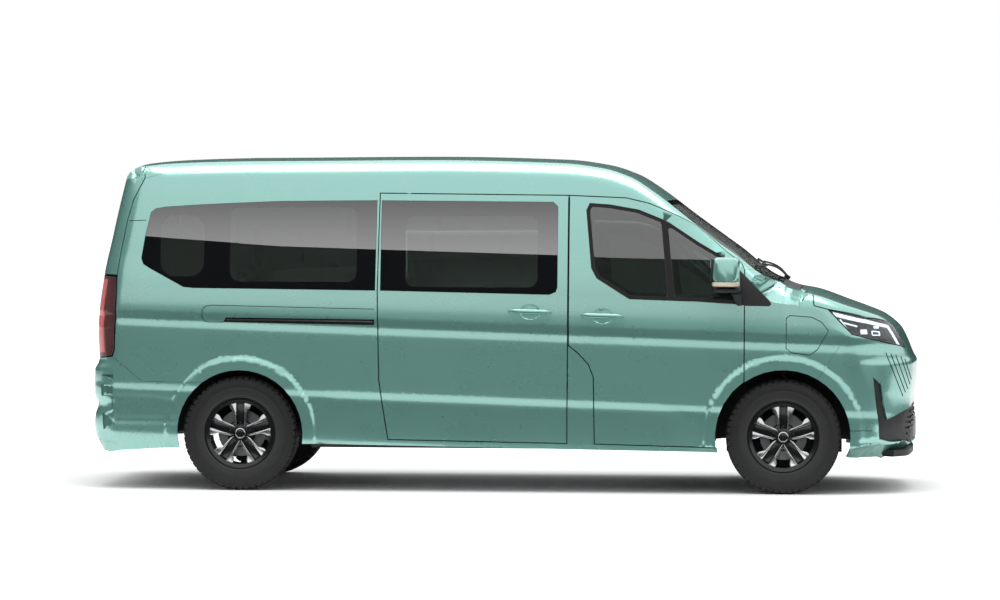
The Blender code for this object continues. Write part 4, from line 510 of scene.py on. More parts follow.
class Finish:
    """A procedural material while it is being made."""

    def __init__(self, name, **values):
        self.made = bpy.data.materials.new(name)
        self.made.use_nodes = True
        self.tree = self.made.node_tree
        self.shader = self.tree.nodes["Principled BSDF"]
        self.bumps = None
        for key, value in values.items():
            self.shader.inputs[key.replace("_", " ").title().replace("Ior", "IOR")].default_value = value
        self.space = self.node("ShaderNodeTexCoord").outputs["Object"]
        FINISHES[name] = self.made

    def node(self, kind, inputs=None, **settings):
        """Add a node with some settings and inputs, where an input is a value or another socket."""
        made = self.tree.nodes.new(kind)
        for key, value in settings.items():
            setattr(made, key, value)
        for key, value in (inputs or {}).items():
            if isinstance(value, bpy.types.NodeSocket):
                self.tree.links.new(value, made.inputs[key])
            else:
                made.inputs[key].default_value = value
        return made

    def noise(self, scale, detail=3.0, stretch=(1, 1, 1)):
        """Return a noise value over the object's own space."""
        mapped = self.node("ShaderNodeMapping", {"Vector": self.space, "Scale": stretch})
        inputs = {"Vector": mapped.outputs[0], "Scale": scale, "Detail": detail}
        return self.node("ShaderNodeTexNoise", inputs).outputs[0]

    def cells(self, scale):
        """Return the distance to the nearest of scattered points."""
        return self.node("ShaderNodeTexVoronoi", {"Vector": self.space, "Scale": scale}).outputs[0]

    def waves(self, scale, axis):
        """Return fine stripes across an axis."""
        inputs = {"Vector": self.space, "Scale": scale}
        return self.node("ShaderNodeTexWave", inputs, bands_direction=axis).outputs[1]

    def spread(self, value, low, high, start=0.0, end=1.0):
        """Return a value moved from one range into another."""
        return self.node("ShaderNodeMapRange", {0: value, 1: start, 2: end, 3: low, 4: high}).outputs[0]

    def mix(self, factor, first, second):
        """Return a colour between two."""
        made = self.node("ShaderNodeMix", data_type="RGBA")
        for index, value in ((0, factor), (6, first), (7, second)):
            if isinstance(value, bpy.types.NodeSocket):
                self.tree.links.new(value, made.inputs[index])
            else:
                made.inputs[index].default_value = value if index == 0 else (*value[:3], 1)
        return made.outputs[2]

    def drive(self, key, socket):
        """Feed a socket of the shader."""
        self.tree.links.new(socket, self.shader.inputs[key])

    def bump(self, value, depth, strength=1.0):
        """Add a bump to the surface, over the bumps before it."""
        inputs = {"Height": value, "Distance": depth, "Strength": strength}
        if self.bumps:
            inputs["Normal"] = self.bumps
        self.bumps = self.node("ShaderNodeBump", inputs).outputs[0]
        self.drive("Normal", self.bumps)

    def vary(self, colour, spread_by, scale, detail=3.0):
        """Let a colour change a little over the surface, and return it."""
        dark = [c * (1 - spread_by) for c in colour]
        light = [min(1, c * (1 + spread_by)) for c in colour]
        mixed = self.mix(self.noise(scale, detail), dark, light)
        self.drive("Base Color", mixed)
        return mixed


def make_paint():
    """Make the metallic paint with its clear coat."""
    made = Finish("paint", metallic=0.6, roughness=0.28, coat_weight=1.0, coat_roughness=0.12, coat_ior=2.0)
    made.vary(tuple(colours().paint), 0.035, 900, 2)
    made.drive("Roughness", made.spread(made.noise(6, 2), 0.25, 0.31))
    made.bump(made.noise(260, 2), 0.00004)


# Plain finishes: name, shader values, colour, how far and how finely it varies, then the range of the
# roughness with its noise, and the bump with its pattern, scale, depth and strength
PLAIN_FINISHES = (
    ("moulded", {"roughness": 0.5}, (0.020, 0.020, 0.022), (0.25, 14), (0.42, 0.58, 40),
     ("cells", 1400, 0.00018, 0.7)),
    ("gloss", {"roughness": 0.10, "coat_weight": 0.6, "coat_roughness": 0.03}, (0.006, 0.006, 0.007),
     (0.3, 30), (0.07, 0.14, 18), None),
    ("seal", {"roughness": 0.62}, (0.012, 0.012, 0.012), (0.3, 120), None, ("noise", 700, 0.0001)),
    ("dash", {"roughness": 0.7}, (0.040, 0.041, 0.043), (0.16, 9), None, ("cells", 900, 0.0003, 0.8)),
    ("carpet", {"roughness": 0.95, "sheen_weight": 0.3}, (0.050, 0.052, 0.052), (0.4, 260), None,
     ("noise", (900, 6), 0.002)),
    ("polished", {"metallic": 1.0, "roughness": 0.2}, (0.80, 0.81, 0.82), (0.03, 60),
     (0.16, 0.30, 120, 4, (1, 1, 8)), ("noise", (1600, 2, (1, 1, 12)), 0.00002)),
    ("alloy_black", {"roughness": 0.25, "coat_weight": 0.5, "coat_roughness": 0.06}, (0.008, 0.008, 0.009),
     (0.3, 50), None, ("noise", 500, 0.00004)),
    ("steel", {"metallic": 0.9, "roughness": 0.45}, (0.26, 0.26, 0.27), (0.25, 24), (0.35, 0.6, 60),
     ("noise", 300, 0.0002)),
    ("disc", {"metallic": 1.0, "roughness": 0.32}, (0.33, 0.33, 0.34), (0.12, 30), None,
     ("cells", 500, 0.0001)),
    ("chrome", {"metallic": 1.0, "roughness": 0.08}, (0.82, 0.83, 0.84), (0.02, 50), (0.05, 0.12, 30), None),
    ("underseal", {"roughness": 0.85}, (0.022, 0.022, 0.022), (0.35, 12), None, ("cells", 240, 0.0015, 0.7)),
    ("cast", {"metallic": 0.8, "roughness": 0.5}, (0.30, 0.31, 0.32), (0.15, 20), None,
     ("noise", (420, 5), 0.0006)),
    ("lamp_white", {"roughness": 0.25, "emission_color": (0.82, 0.92, 0.95, 1), "emission_strength": 0.75},
     (0.85, 0.90, 0.92), (0.03, 40), None, ("waves", (180, "X"), 0.0004)),
    ("lamp_red", {"roughness": 0.2, "emission_color": (1.0, 0.36, 0.36, 1), "emission_strength": 0.42},
     (0.82, 0.20, 0.20), (0.08, 40), None, ("waves", (120, "Z"), 0.0005)),
    ("lamp_smoke", {"roughness": 0.3}, (0.10, 0.075, 0.075), (0.15, 60), None, ("waves", (90, "Z"), 0.001)),
    ("lamp_grey", {"metallic": 0.5, "roughness": 0.35}, (0.07, 0.075, 0.08), (0.15, 40), None,
     ("waves", (70, "X"), 0.0006)),
    ("amber", {"roughness": 0.15}, (0.72, 0.66, 0.50), (0.05, 60), None, ("waves", (150, "Y"), 0.0004)),
    ("mirror_face", {"metallic": 1.0, "roughness": 0.03}, (0.86, 0.88, 0.89), (0.01, 20),
     (0.02, 0.05, 30), None),
    ("screen", {"roughness": 0.12}, (0.010, 0.012, 0.015), (0.2, 30), (0.09, 0.15, 30), None),
    ("blank_plate", {"roughness": 0.4}, (0.72, 0.72, 0.70), (0.02, 60), None, ("cells", 900, 0.00008)),
    ("piping", {"roughness": 0.7}, (0.07, 0.075, 0.075), (0.2, 120), None, ("noise", 900, 0.0003)),
    ("leather", {"roughness": 0.55}, (0.028, 0.028, 0.029), (0.15, 30), None, ("cells", 420, 0.0005, 0.8)),
)


def make_plain_finishes():
    """Make the plastics, metals, lamp parts and piping, which differ only in their values."""
    for name, values, colour, variation, roughness, bump in PLAIN_FINISHES:
        made = Finish(name, **values)
        made.vary(tuple(colours().trim) if name == "moulded" else colour, *variation)
        if roughness:
            made.drive("Roughness", made.spread(made.noise(*roughness[2:]), *roughness[:2]))
        if bump:
            kind, scale, *rest = bump
            made.bump(getattr(made, kind)(*(scale if isinstance(scale, tuple) else (scale,))), *rest)


def make_rubber():
    """Make the tyre rubber, a little greyer on the sidewall than on the tread."""
    made = Finish("rubber", roughness=0.62)
    radial = made.node("ShaderNodeAttribute", attribute_name="reach").outputs["Fac"]
    wall = made.spread(radial, 1.0, 0.0, 0.236, 0.300)
    bare = made.mix(made.noise(90, 4), (0.008, 0.008, 0.008), (0.014, 0.014, 0.014))
    pale = made.mix(made.noise(60, 4), (0.024, 0.025, 0.025), (0.036, 0.037, 0.037))
    made.drive("Base Color", made.mix(wall, bare, pale))
    made.drive("Roughness", made.spread(made.noise(35), 0.52, 0.72))
    made.bump(made.noise(700, 3), 0.0002)


def make_pane(name, tint, blind, ior):
    """Make a glass with a printed border, clear where the attribute says how deep it lies inside."""
    made = Finish(name, roughness=0.0, ior=ior, coat_weight=0.0)
    depth = made.node("ShaderNodeAttribute", attribute_name="clear").outputs["Fac"]
    inside = made.spread(depth, 0.0, 1.0, -0.0012, 0.0012)
    mottled = made.mix(made.noise(3), [c * 0.96 for c in tint], tint)
    printed = made.mix(made.noise(60), blind, [c * 1.3 for c in blind])
    made.drive("Base Color", made.mix(inside, printed, mottled))
    made.drive("Transmission Weight", inside)
    if name == "door_pane":
        made.drive("IOR", made.spread(inside, 1.3, ior))
        made.drive("Roughness", made.spread(inside, 0.5, 0.0))
    # Painted reflection: the side glass's IOR falls with height, so the pane mirrors less towards its top
    if name == "side_pane":
        height = made.node("ShaderNodeSeparateXYZ", {0: made.space}).outputs["Z"]
        made.drive("IOR", made.spread(height, ior, ior * REFLECTION_FADE_SHARE, *REFLECTION_FADE_HEIGHTS))


def make_glasses():
    """Make the side glass, the windscreen and the lamp covers."""
    make_pane("side_pane", tuple(colours().tint), (0.004, 0.004, 0.005), ior=3.3)
    make_pane("door_pane", tuple(colours().tint), (0.022, 0.020, 0.021), ior=2.3)
    make_pane("screen_pane", (0.80, 0.85, 0.83), (0.004, 0.004, 0.005), ior=1.6)
    make_pane("lamp_pane", (0.93, 0.95, 0.96), (0.006, 0.007, 0.008), ior=1.3)
    make_pane("tail_pane", (0.75, 0.50, 0.50), (0.006, 0.005, 0.005), ior=1.4)


def make_cloth():
    """Make the woven seat cloth."""
    made = Finish("cloth", roughness=0.92, sheen_weight=0.35, sheen_roughness=0.5)
    threads = {0: made.waves(230, "X"), 1: made.waves(230, "Z")}
    weave = made.node("ShaderNodeMath", threads, operation="MULTIPLY")
    base = tuple(colours().cloth)
    tone = made.mix(made.noise(7), [c * 0.86 for c in base], [c * 1.12 for c in base])
    made.drive("Base Color", made.mix(made.spread(weave.outputs[0], 0.0, 0.4), tone, [c * 0.6 for c in base]))
    made.bump(weave.outputs[0], 0.0006, 0.8)
    made.bump(made.noise(40), 0.002, 0.4)


# Meshes


def add(name, vertices, faces, finishes, body, slot, indices=None, angle=35, nodes=()):
    """Make a smooth piece that rides on a body, with the finish of each face given by indices."""
    mesh = bpy.data.meshes.new(name)
    mesh.from_pydata([tuple(v) for v in vertices], [], [tuple(int(i) for i in face) for face in faces])
    if indices is not None:
        mesh.polygons.foreach_set("material_index", np.array(indices, np.int32))
    return keep(name, mesh, finishes, body, angle, nodes)


def store(made, name, values):
    """Store a value for each point of a piece, for its material to read."""
    attribute = made.data.attributes.new(name, "FLOAT", "POINT")
    attribute.data.foreach_set("value", np.asarray(values, np.float32))


def keep(name, mesh, finishes, body, angle=35, nodes=()):
    """Turn a mesh into a piece of the minibus."""
    slots = np.empty(len(mesh.polygons), np.int32)
    mesh.polygons.foreach_get("material_index", slots)
    mesh.materials.clear()
    for finish in finishes:
        mesh.materials.append(FINISHES[finish])
    mesh.polygons.foreach_set("material_index", np.minimum(slots, len(finishes) - 1))
    mesh.polygons.foreach_set("use_smooth", np.ones(len(mesh.polygons), bool))
    mesh.set_sharp_from_angle(angle=math.radians(angle))
    made = bpy.data.objects.new(name, mesh)
    bpy.context.scene.collection.objects.link(made)
    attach(made, body)
    if nodes:
        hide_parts(*nodes)
    return made


def other_side(vertices, faces):
    """Return a solid mirrored over the centreline."""
    return np.asarray(vertices) * (1, -1, 1), [tuple(reversed(face)) for face in faces]


def both(name, vertices, faces, finishes, body, slot, indices=None, angle=35, nodes=()):
    """Make a piece on the right side and its mirror image on the left. A {} in body stands for the side."""
    add("right_" + name, vertices, faces, finishes, body.format("right"), slot, indices, angle,
        ["right_" + n for n in nodes])
    vertices, faces = other_side(vertices, faces)
    add("left_" + name, vertices, faces, finishes, body.format("left"), slot, indices, angle,
        ["left_" + n for n in nodes])


def merged(*solids):
    """Return several solids as one list of vertices and faces."""
    vertices, faces, total = [], [], 0
    for some, more in solids:
        vertices.append(np.asarray(some, float))
        faces += [tuple(int(i) + total for i in face) for face in more]
        total += len(some)
    return np.concatenate(vertices), faces


def of_kinds(solids, kinds):
    """Return the material index of each face of some solids."""
    return [kind for solid, kind in zip(solids, kinds) for _ in solid[1]]


def box(low, high):
    """Return a box between two corners."""
    (x0, y0, z0), (x1, y1, z1) = low, high
    vertices = [(x, y, z) for z in (z0, z1) for x, y in ((x0, y0), (x1, y0), (x1, y1), (x0, y1))]
    faces = [(3, 2, 1, 0), (4, 5, 6, 7), (0, 1, 5, 4), (1, 2, 6, 5), (2, 3, 7, 6), (3, 0, 4, 7)]
    return np.array(vertices, float), faces


def opened(vertices, faces):
    """Return a solid as an editable mesh."""
    bm = bmesh.new()
    corners = [bm.verts.new(tuple(v)) for v in vertices]
    for face in faces:
        if len(set(face)) > 2:
            bm.faces.new([corners[i] for i in face])
    return bm


def closed_up(bm):
    """Return an editable mesh as points and faces, and free it."""
    bm.verts.index_update()
    result = np.array([v.co for v in bm.verts]), [tuple(v.index for v in f.verts) for f in bm.faces]
    bm.free()
    return result


def round_off(bm, width, segments, angle, **more):
    """Bevel the edges of an editable mesh that are sharper than an angle in degrees."""
    bm.normal_update()
    edges = [e for e in bm.edges if len(e.link_faces) == 2 and e.calc_face_angle() > math.radians(angle)]
    bmesh.ops.bevel(bm, geom=edges, offset=width, segments=segments, affect="EDGES", profile=0.5, **more)


def eased(solid, width, segments=2):
    """Return a solid with its sharp edges rounded off."""
    bm = opened(*solid)
    round_off(bm, width, segments, 25)
    return closed_up(bm)


def lofted(rings, closed=False):
    """Return a skin through rings of points, capped at both ends unless it closes on itself."""
    count, size = len(rings), len(rings[0])
    faces = []
    for i in range(count if closed else count - 1):
        here, there = i * size, (i + 1) % count * size
        for j in range(size):
            k = (j + 1) % size
            faces.append((here + j, here + k, there + k, there + j))
    if not closed:
        faces.append(tuple(reversed(range(size))))
        faces.append(tuple(range((count - 1) * size, count * size)))
    return np.concatenate([np.asarray(ring, float) for ring in rings]), faces


def strip(points, ups, width, height, sink=0.0, closed=False):
    """Return a bar of chamfered section along some points, its top towards ups."""
    points, ups = np.asarray(points, float), np.asarray(ups, float)
    widths = np.broadcast_to(np.asarray(width, float), (len(points),))
    if closed:
        along = np.roll(points, -1, axis=0) - np.roll(points, 1, axis=0)
    else:
        along = np.gradient(points, axis=0)
    sides = unit(np.cross(unit(along), ups))
    rings = []
    for point, up, side, wide in zip(points, ups, sides, widths):
        cut = min(wide, height + sink) * 0.22
        section = ((-wide / 2, -sink), (-wide / 2, height - cut), (cut - wide / 2, height),
                   (wide / 2 - cut, height), (wide / 2, height - cut), (wide / 2, -sink))
        rings.append([point + side * a + up * b for a, b in section])
    return lofted(rings, closed)


def turned(profile, segments, closed=False):
    """Return a skin turned round the Y axis from (radius, along) points. Its ends stay open unless closed."""
    profile = np.array(profile, float)
    angles = np.arange(segments) * 2 * math.pi / segments
    size = len(profile)
    vertices = np.concatenate([
        np.stack((profile[:, 0] * math.cos(a), profile[:, 1], profile[:, 0] * math.sin(a)), axis=1)
        for a in angles])
    faces = []
    for i in range(segments):
        here, there = i * size, (i + 1) % segments * size
        for j in range(size if closed else size - 1):
            k = (j + 1) % size
            faces.append((here + j, here + k, there + k, there + j))
    return vertices, faces


def cleaned(vertices, faces):
    """Return a solid with its doubles merged and its faces turned outwards."""
    bm = opened(vertices, faces)
    bmesh.ops.remove_doubles(bm, verts=bm.verts, dist=1e-6)
    bmesh.ops.recalc_face_normals(bm, faces=bm.faces)
    return closed_up(bm)


def prism(outline, low, high):
    """Return a prism along Y of an (x, z) outline."""
    outline = np.array(outline, float)
    following = np.roll(outline, -1, axis=0)
    if np.sum(outline[:, 0] * following[:, 1] - following[:, 0] * outline[:, 1]) < 0:
        outline = outline[::-1]
    count = len(outline)
    rows = [np.stack((outline[:, 0], np.full(count, y), outline[:, 1]), axis=1) for y in (low, high)]
    faces = [tuple(range(count)), tuple(reversed(range(count, 2 * count)))]
    faces += [(i + count, (i + 1) % count + count, (i + 1) % count, i) for i in range(count)]
    return np.concatenate(rows), faces


# Repeats, made by geometry nodes


def new_tree(name, inputs):
    """Return an empty geometry tree with named inputs, and its input and output nodes."""
    tree = bpy.data.node_groups.new(name, "GeometryNodeTree")
    tree.interface.new_socket("Geometry", in_out="INPUT", socket_type="NodeSocketGeometry")
    for label, kind in inputs:
        tree.interface.new_socket(label, in_out="INPUT", socket_type=kind)
    tree.interface.new_socket("Geometry", in_out="OUTPUT", socket_type="NodeSocketGeometry")
    return tree, tree.nodes.new("NodeGroupInput"), tree.nodes.new("NodeGroupOutput")


def added(tree, *kinds):
    """Return new nodes of some kinds."""
    return [tree.nodes.new(kind) for kind in kinds]


def wire(tree, *links):
    """Link pairs of sockets."""
    for start, end in links:
        tree.links.new(start, end)


def finished_tree(tree, given, leaving, geometry):
    """End a tree in Realize Instances and Set Material."""
    realize, coat = added(tree, "GeometryNodeRealizeInstances", "GeometryNodeSetMaterial")
    wire(tree, (geometry, realize.inputs[0]), (realize.outputs[0], coat.inputs["Geometry"]),
         (given.outputs["Material"], coat.inputs["Material"]), (coat.outputs[0], leaving.inputs[0]))
    return tree


def ring_tree():
    """Return a tree that sets blocks round an upright axis, turned to face it."""
    tree, given, leaving = new_tree("ring_of_blocks", (
        ("Count", "NodeSocketInt"), ("Radius", "NodeSocketFloat"), ("Rise", "NodeSocketFloat"),
        ("Size", "NodeSocketVector"), ("Skew", "NodeSocketFloat"), ("Material", "NodeSocketMaterial")))
    circle, block, copies, lift = added(
        tree, "GeometryNodeMeshCircle", "GeometryNodeMeshCube", "GeometryNodeInstanceOnPoints",
        "GeometryNodeSetPosition")
    place, aim, skew, both_turns, turn, shift = added(
        tree, "GeometryNodeInputPosition", "FunctionNodeAlignRotationToVector", "FunctionNodeEulerToRotation",
        "FunctionNodeRotateRotation", "ShaderNodeCombineXYZ", "ShaderNodeCombineXYZ")
    aim.axis = "X"
    aim.pivot_axis = "Z"
    both_turns.rotation_space = "LOCAL"
    wire(tree, (given.outputs["Count"], circle.inputs["Vertices"]),
         (given.outputs["Radius"], circle.inputs["Radius"]), (given.outputs["Size"], block.inputs["Size"]),
         (circle.outputs[0], lift.inputs["Geometry"]), (given.outputs["Rise"], shift.inputs["Z"]),
         (shift.outputs[0], lift.inputs["Offset"]), (lift.outputs[0], copies.inputs["Points"]),
         (block.outputs["Mesh"], copies.inputs["Instance"]), (place.outputs[0], aim.inputs["Vector"]),
         (given.outputs["Skew"], turn.inputs["X"]), (turn.outputs[0], skew.inputs[0]),
         (aim.outputs[0], both_turns.inputs[0]), (skew.outputs[0], both_turns.inputs[1]),
         (both_turns.outputs[0], copies.inputs["Rotation"]))
    return finished_tree(tree, given, leaving, copies.outputs[0])


def nut_tree():
    """Return a tree that sets tapered nuts round an upright axis."""
    tree, given, leaving = new_tree("ring_of_nuts", (
        ("Count", "NodeSocketInt"), ("Radius", "NodeSocketFloat"), ("Rise", "NodeSocketFloat"),
        ("Nut radius", "NodeSocketFloat"), ("Nut height", "NodeSocketFloat"), ("Start", "NodeSocketFloat"),
        ("Material", "NodeSocketMaterial")))
    circle, nut, top, copies, move, shift, turn = added(
        tree, "GeometryNodeMeshCircle", "GeometryNodeMeshCone", "ShaderNodeMath",
        "GeometryNodeInstanceOnPoints", "GeometryNodeTransform", "ShaderNodeCombineXYZ",
        "ShaderNodeCombineXYZ")
    nut.inputs["Vertices"].default_value = 12
    top.operation = "MULTIPLY"
    top.inputs[1].default_value = 0.72
    wire(tree, (given.outputs["Count"], circle.inputs["Vertices"]),
         (given.outputs["Radius"], circle.inputs["Radius"]), (circle.outputs[0], move.inputs["Geometry"]),
         (given.outputs["Rise"], shift.inputs["Z"]), (shift.outputs[0], move.inputs["Translation"]),
         (given.outputs["Start"], turn.inputs["Z"]), (turn.outputs[0], move.inputs["Rotation"]),
         (move.outputs[0], copies.inputs["Points"]),
         (given.outputs["Nut radius"], nut.inputs["Radius Bottom"]),
         (given.outputs["Nut radius"], top.inputs[0]), (top.outputs[0], nut.inputs["Radius Top"]),
         (given.outputs["Nut height"], nut.inputs["Depth"]), (nut.outputs["Mesh"], copies.inputs["Instance"]))
    return finished_tree(tree, given, leaving, copies.outputs[0])


def rope_tree():
    """Return a tree that runs a round section along the edges of a mesh."""
    tree, given, leaving = new_tree("round_along_path", (
        ("Radius", "NodeSocketFloat"), ("Sides", "NodeSocketInt"), ("Material", "NodeSocketMaterial")))
    path, ring, sweep = added(
        tree, "GeometryNodeMeshToCurve", "GeometryNodeCurvePrimitiveCircle", "GeometryNodeCurveToMesh")
    sweep.inputs["Fill Caps"].default_value = True
    wire(tree, (given.outputs["Geometry"], path.inputs["Mesh"]), (path.outputs[0], sweep.inputs["Curve"]),
         (given.outputs["Sides"], ring.inputs["Resolution"]),
         (given.outputs["Radius"], ring.inputs["Radius"]),
         (ring.outputs[0], sweep.inputs["Profile Curve"]))
    return finished_tree(tree, given, leaving, sweep.outputs[0])


def row_tree():
    """Return a tree that sets equal blocks on every point of a mesh."""
    tree, given, leaving = new_tree("blocks_on_points", (
        ("Size", "NodeSocketVector"), ("Turn", "NodeSocketVector"), ("Material", "NodeSocketMaterial")))
    block, points, turn, copies = added(
        tree, "GeometryNodeMeshCube", "GeometryNodeMeshToPoints", "FunctionNodeEulerToRotation",
        "GeometryNodeInstanceOnPoints")
    wire(tree, (given.outputs["Geometry"], points.inputs[0]), (points.outputs[0], copies.inputs["Points"]),
         (given.outputs["Size"], block.inputs["Size"]), (block.outputs["Mesh"], copies.inputs["Instance"]),
         (given.outputs["Turn"], turn.inputs[0]), (turn.outputs[0], copies.inputs["Rotation"]))
    return finished_tree(tree, given, leaving, copies.outputs[0])


TREES = {}


def grown(tree, values, points=(), edges=()):
    """Return the plain mesh that a tree makes from some points and edges, as vertices and faces."""
    if tree.__name__ not in TREES:
        TREES[tree.__name__] = tree()
    group = TREES[tree.__name__]
    mesh = bpy.data.meshes.new("seed")
    mesh.from_pydata([tuple(p) for p in points], [tuple(e) for e in edges], [])
    seed = bpy.data.objects.new("seed", mesh)
    bpy.context.scene.collection.objects.link(seed)
    modifier = seed.modifiers.new("grow", "NODES")
    modifier.node_group = group
    for item in group.interface.items_tree:
        if item.in_out == "INPUT" and item.name in values:
            modifier[item.identifier] = values[item.name]
    graph = bpy.context.evaluated_depsgraph_get()
    result = bpy.data.meshes.new_from_object(seed.evaluated_get(graph), depsgraph=graph)
    seed.modifiers.remove(modifier)
    bpy.data.objects.remove(seed)
    vertices = np.array([v.co for v in result.vertices]).reshape(-1, 3)
    faces = [tuple(p.vertices) for p in result.polygons]
    return vertices, faces


def rope(points, radius, finish, sides=8, closed=False):
    """Return a round bar along some points."""
    count = len(points)
    edges = [(i, i + 1) for i in range(count - 1)] + ([(count - 1, 0)] if closed else [])
    return grown(rope_tree, {"Radius": radius, "Sides": sides, "Material": FINISHES[finish]}, points, edges)


# Body skin


def welded(node):
    """Return a copy of a CAD node with its loose triangles merged."""
    bm = bmesh.new()
    bm.from_mesh(NODES[node].data)
    bmesh.ops.remove_doubles(bm, verts=bm.verts, dist=WELD)
    return bm


def skin_of(node):
    """Return a merged copy of a CAD node on the right side, with its outer faces marked."""
    bm = welded(node)
    if node.startswith("left_"):
        bmesh.ops.transform(bm, matrix=Matrix.Diagonal((1, -1, 1, 1)), verts=bm.verts)
        bmesh.ops.reverse_faces(bm, faces=bm.faces)
    bm.normal_update()
    outer = bm.faces.layers.int.new("outer")
    points = np.array([v.co for v in bm.verts])
    glazed = any(word in node for word in ("side", "sliding_door", "front_door", "tailgate"))
    near = np.abs(body_field(points)) < (SHALLOW if glazed else DEEP)
    normals = outward(points)
    bm.verts.index_update()
    for face in bm.faces:
        corners = [v.index for v in face.verts]
        facing = float(normals[corners].mean(axis=0) @ np.array(face.normal))
        face[outer] = int(near[corners].all() and facing > FACING)
    return bm, outer


def settle_outer(bm, outer, raise_by=None):
    """Move the points of the outer faces on to the body surface."""
    bm.verts.index_update()
    chosen = sorted({v for f in bm.faces if f[outer] for v in f.verts}, key=lambda v: v.index)
    points = settle(np.array([v.co for v in chosen]))
    if raise_by:
        points = points + outward(points) * raise_by(points)[:, None]
    for vertex, point in zip(chosen, points):
        vertex.co = point


def refine(bm, outer, step):
    """Cut the edges of the outer faces until none is longer than step, settling the new points each time."""
    for _ in range(7):
        bm.edges.index_update()
        found = {e for f in bm.faces if f[outer] for e in f.edges if e.calc_length() > step}
        if not found:
            break
        bmesh.ops.subdivide_edges(bm, edges=sorted(found, key=lambda e: e.index), cuts=1)
        bmesh.ops.triangulate(bm, faces=[f for f in bm.faces if len(f.verts) > 3])
        settle_outer(bm, outer)


def inside_convex(x, z, polygon):
    """Tell whether a place lies inside a convex outline."""
    signs = []
    for (x0, z0), (x1, z1) in zip(polygon, polygon[1:] + polygon[:1]):
        signs.append((x1 - x0) * (z - z0) - (z1 - z0) * (x - x0))
    return all(s >= 0 for s in signs) or all(s <= 0 for s in signs)


def carve(bm, outer, polygons, depth, index, side=-1):
    """Sink the outer skin under some convex (x, z) outlines on one side of the body."""
    polygons = [[tuple(map(float, p)) for p in polygon] for polygon in polygons]

    def near(face, low, high):
        xs = [v.co.x for v in face.verts]
        zs = [v.co.z for v in face.verts]
        return min(xs) < high[0] and max(xs) > low[0] and min(zs) < high[1] and max(zs) > low[1]

    def candidates(polygon):
        xs, zs = zip(*polygon)
        low, high = (min(xs) - 0.002, min(zs) - 0.002), (max(xs) + 0.002, max(zs) + 0.002)
        return [f for f in bm.faces
                if f[outer] and side * f.calc_center_median().y > 0 and near(f, low, high)]

    for polygon in polygons:
        for (x0, z0), (x1, z1) in zip(polygon, polygon[1:] + polygon[:1]):
            faces = candidates(polygon)
            pool = set(faces) | {e for f in faces for e in f.edges} | {v for f in faces for v in f.verts}
            bmesh.ops.bisect_plane(bm, geom=list(pool), plane_co=(x0, 0, z0), plane_no=(z1 - z0, 0, x0 - x1),
                                   dist=1e-6)
    bmesh.ops.triangulate(bm, faces=[f for f in bm.faces if len(f.verts) > 4])
    settle_outer(bm, outer)
    chosen = set()
    for polygon in polygons:
        for face in candidates(polygon):
            centre = face.calc_center_median()
            if inside_convex(centre.x, centre.z, polygon):
                chosen.add(face)
    if not chosen:
        return
    made = bmesh.ops.extrude_face_region(bm, geom=list(chosen))["geom"]
    fresh = [g for g in made if isinstance(g, bmesh.types.BMVert)]
    bmesh.ops.delete(bm, geom=[f for f in chosen if f.is_valid], context="FACES")
    places = np.array([v.co for v in fresh])
    places = places - outward(places) * depth
    for vertex, point in zip(fresh, places):
        vertex.co = point
        for face in vertex.link_faces:
            face[outer] = 0
            face.material_index = index


def groove_outlines(line, width):
    """Return the thin convex outlines of a groove along an open line."""
    line = np.array(line, float)
    outlines = []
    for a, b in zip(line[:-1], line[1:]):
        along = (b - a) / np.linalg.norm(b - a)
        across = np.array((-along[1], along[0])) * width / 2
        reach = along * width * 0.3
        outlines.append([tuple(a - reach - across), tuple(b + reach - across), tuple(b + reach + across),
                         tuple(a - reach + across)])
    return outlines


def bowl_outline(x, z):
    """Return the outline of the recess behind a door handle."""
    turns = np.arange(20) * 2 * math.pi / 20
    return [(x + BOWL_SIZE[0] * math.cos(t), z + BOWL_SIZE[1] * math.sin(t)) for t in turns]


def finish_skin(bm, node):
    """Turn a marked skin into a panel on its own side, its outer faces shaded by the true normals."""
    turn = (1, -1, 1) if node.startswith("left_") else (1, 1, 1)
    if turn[1] < 0:
        bmesh.ops.transform(bm, matrix=Matrix.Diagonal((1, -1, 1, 1)), verts=bm.verts)
        bmesh.ops.reverse_faces(bm, faces=bm.faces)
    name = node + "_panel"
    mesh = bpy.data.meshes.new(name)
    bm.to_mesh(mesh)
    bm.free()
    made = keep(name, mesh, ["paint", "seal"], body_of_node(node), 32, [node])
    marks = np.array([item.value for item in mesh.attributes["outer"].data], bool)
    points = np.array([v.co for v in mesh.vertices]) * turn
    true = shaped_normals(points)
    trusted = (np.abs(body_field(points) - relief(points)) < 3 * SETTLED) & (points[:, 2] > SKIRT_TOP)
    corners = np.array([loop.vertex_index for loop in mesh.loops])
    normals = np.array([n.vector for n in mesh.corner_normals])
    counts = np.array([p.loop_total for p in mesh.polygons])
    chosen = np.repeat(marks, counts) & trusted[corners]
    normals[chosen] = (true[corners] * turn)[chosen]
    mesh.attributes.remove(mesh.attributes["outer"])
    mesh.normals_split_custom_set([tuple(n) for n in normals])
    return made


def carvings(node):
    """Return the grooves and recesses of a panel as rows of outlines, depth and finish index."""
    if "side" in node:
        thin = groove_outlines(RAIL_COVER, GROOVE_WIDTH) + groove_outlines(QUARTER_SEAM, GROOVE_WIDTH)
        return [(thin, GROOVE_DEPTH, 1), ([RAIL_SLOT], SLOT_DEPTH, 1)]
    for panel, x, z in HANDLES:
        if panel in node:
            return [([bowl_outline(x, z)], BOWL_DEPTH, 0)]
    if node == "front_bumper":
        thin = [outline for line in NOSE_GROOVES for outline in groove_outlines(line, NOSE_GROOVE_WIDTH)]
        return [(thin + groove_outlines(BUMPER_SEAM, GROOVE_WIDTH), GROOVE_DEPTH, 1)]
    return []


def body_of_node(node):
    """Return the body that a CAD node rides on."""
    return NODES[node]["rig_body"]


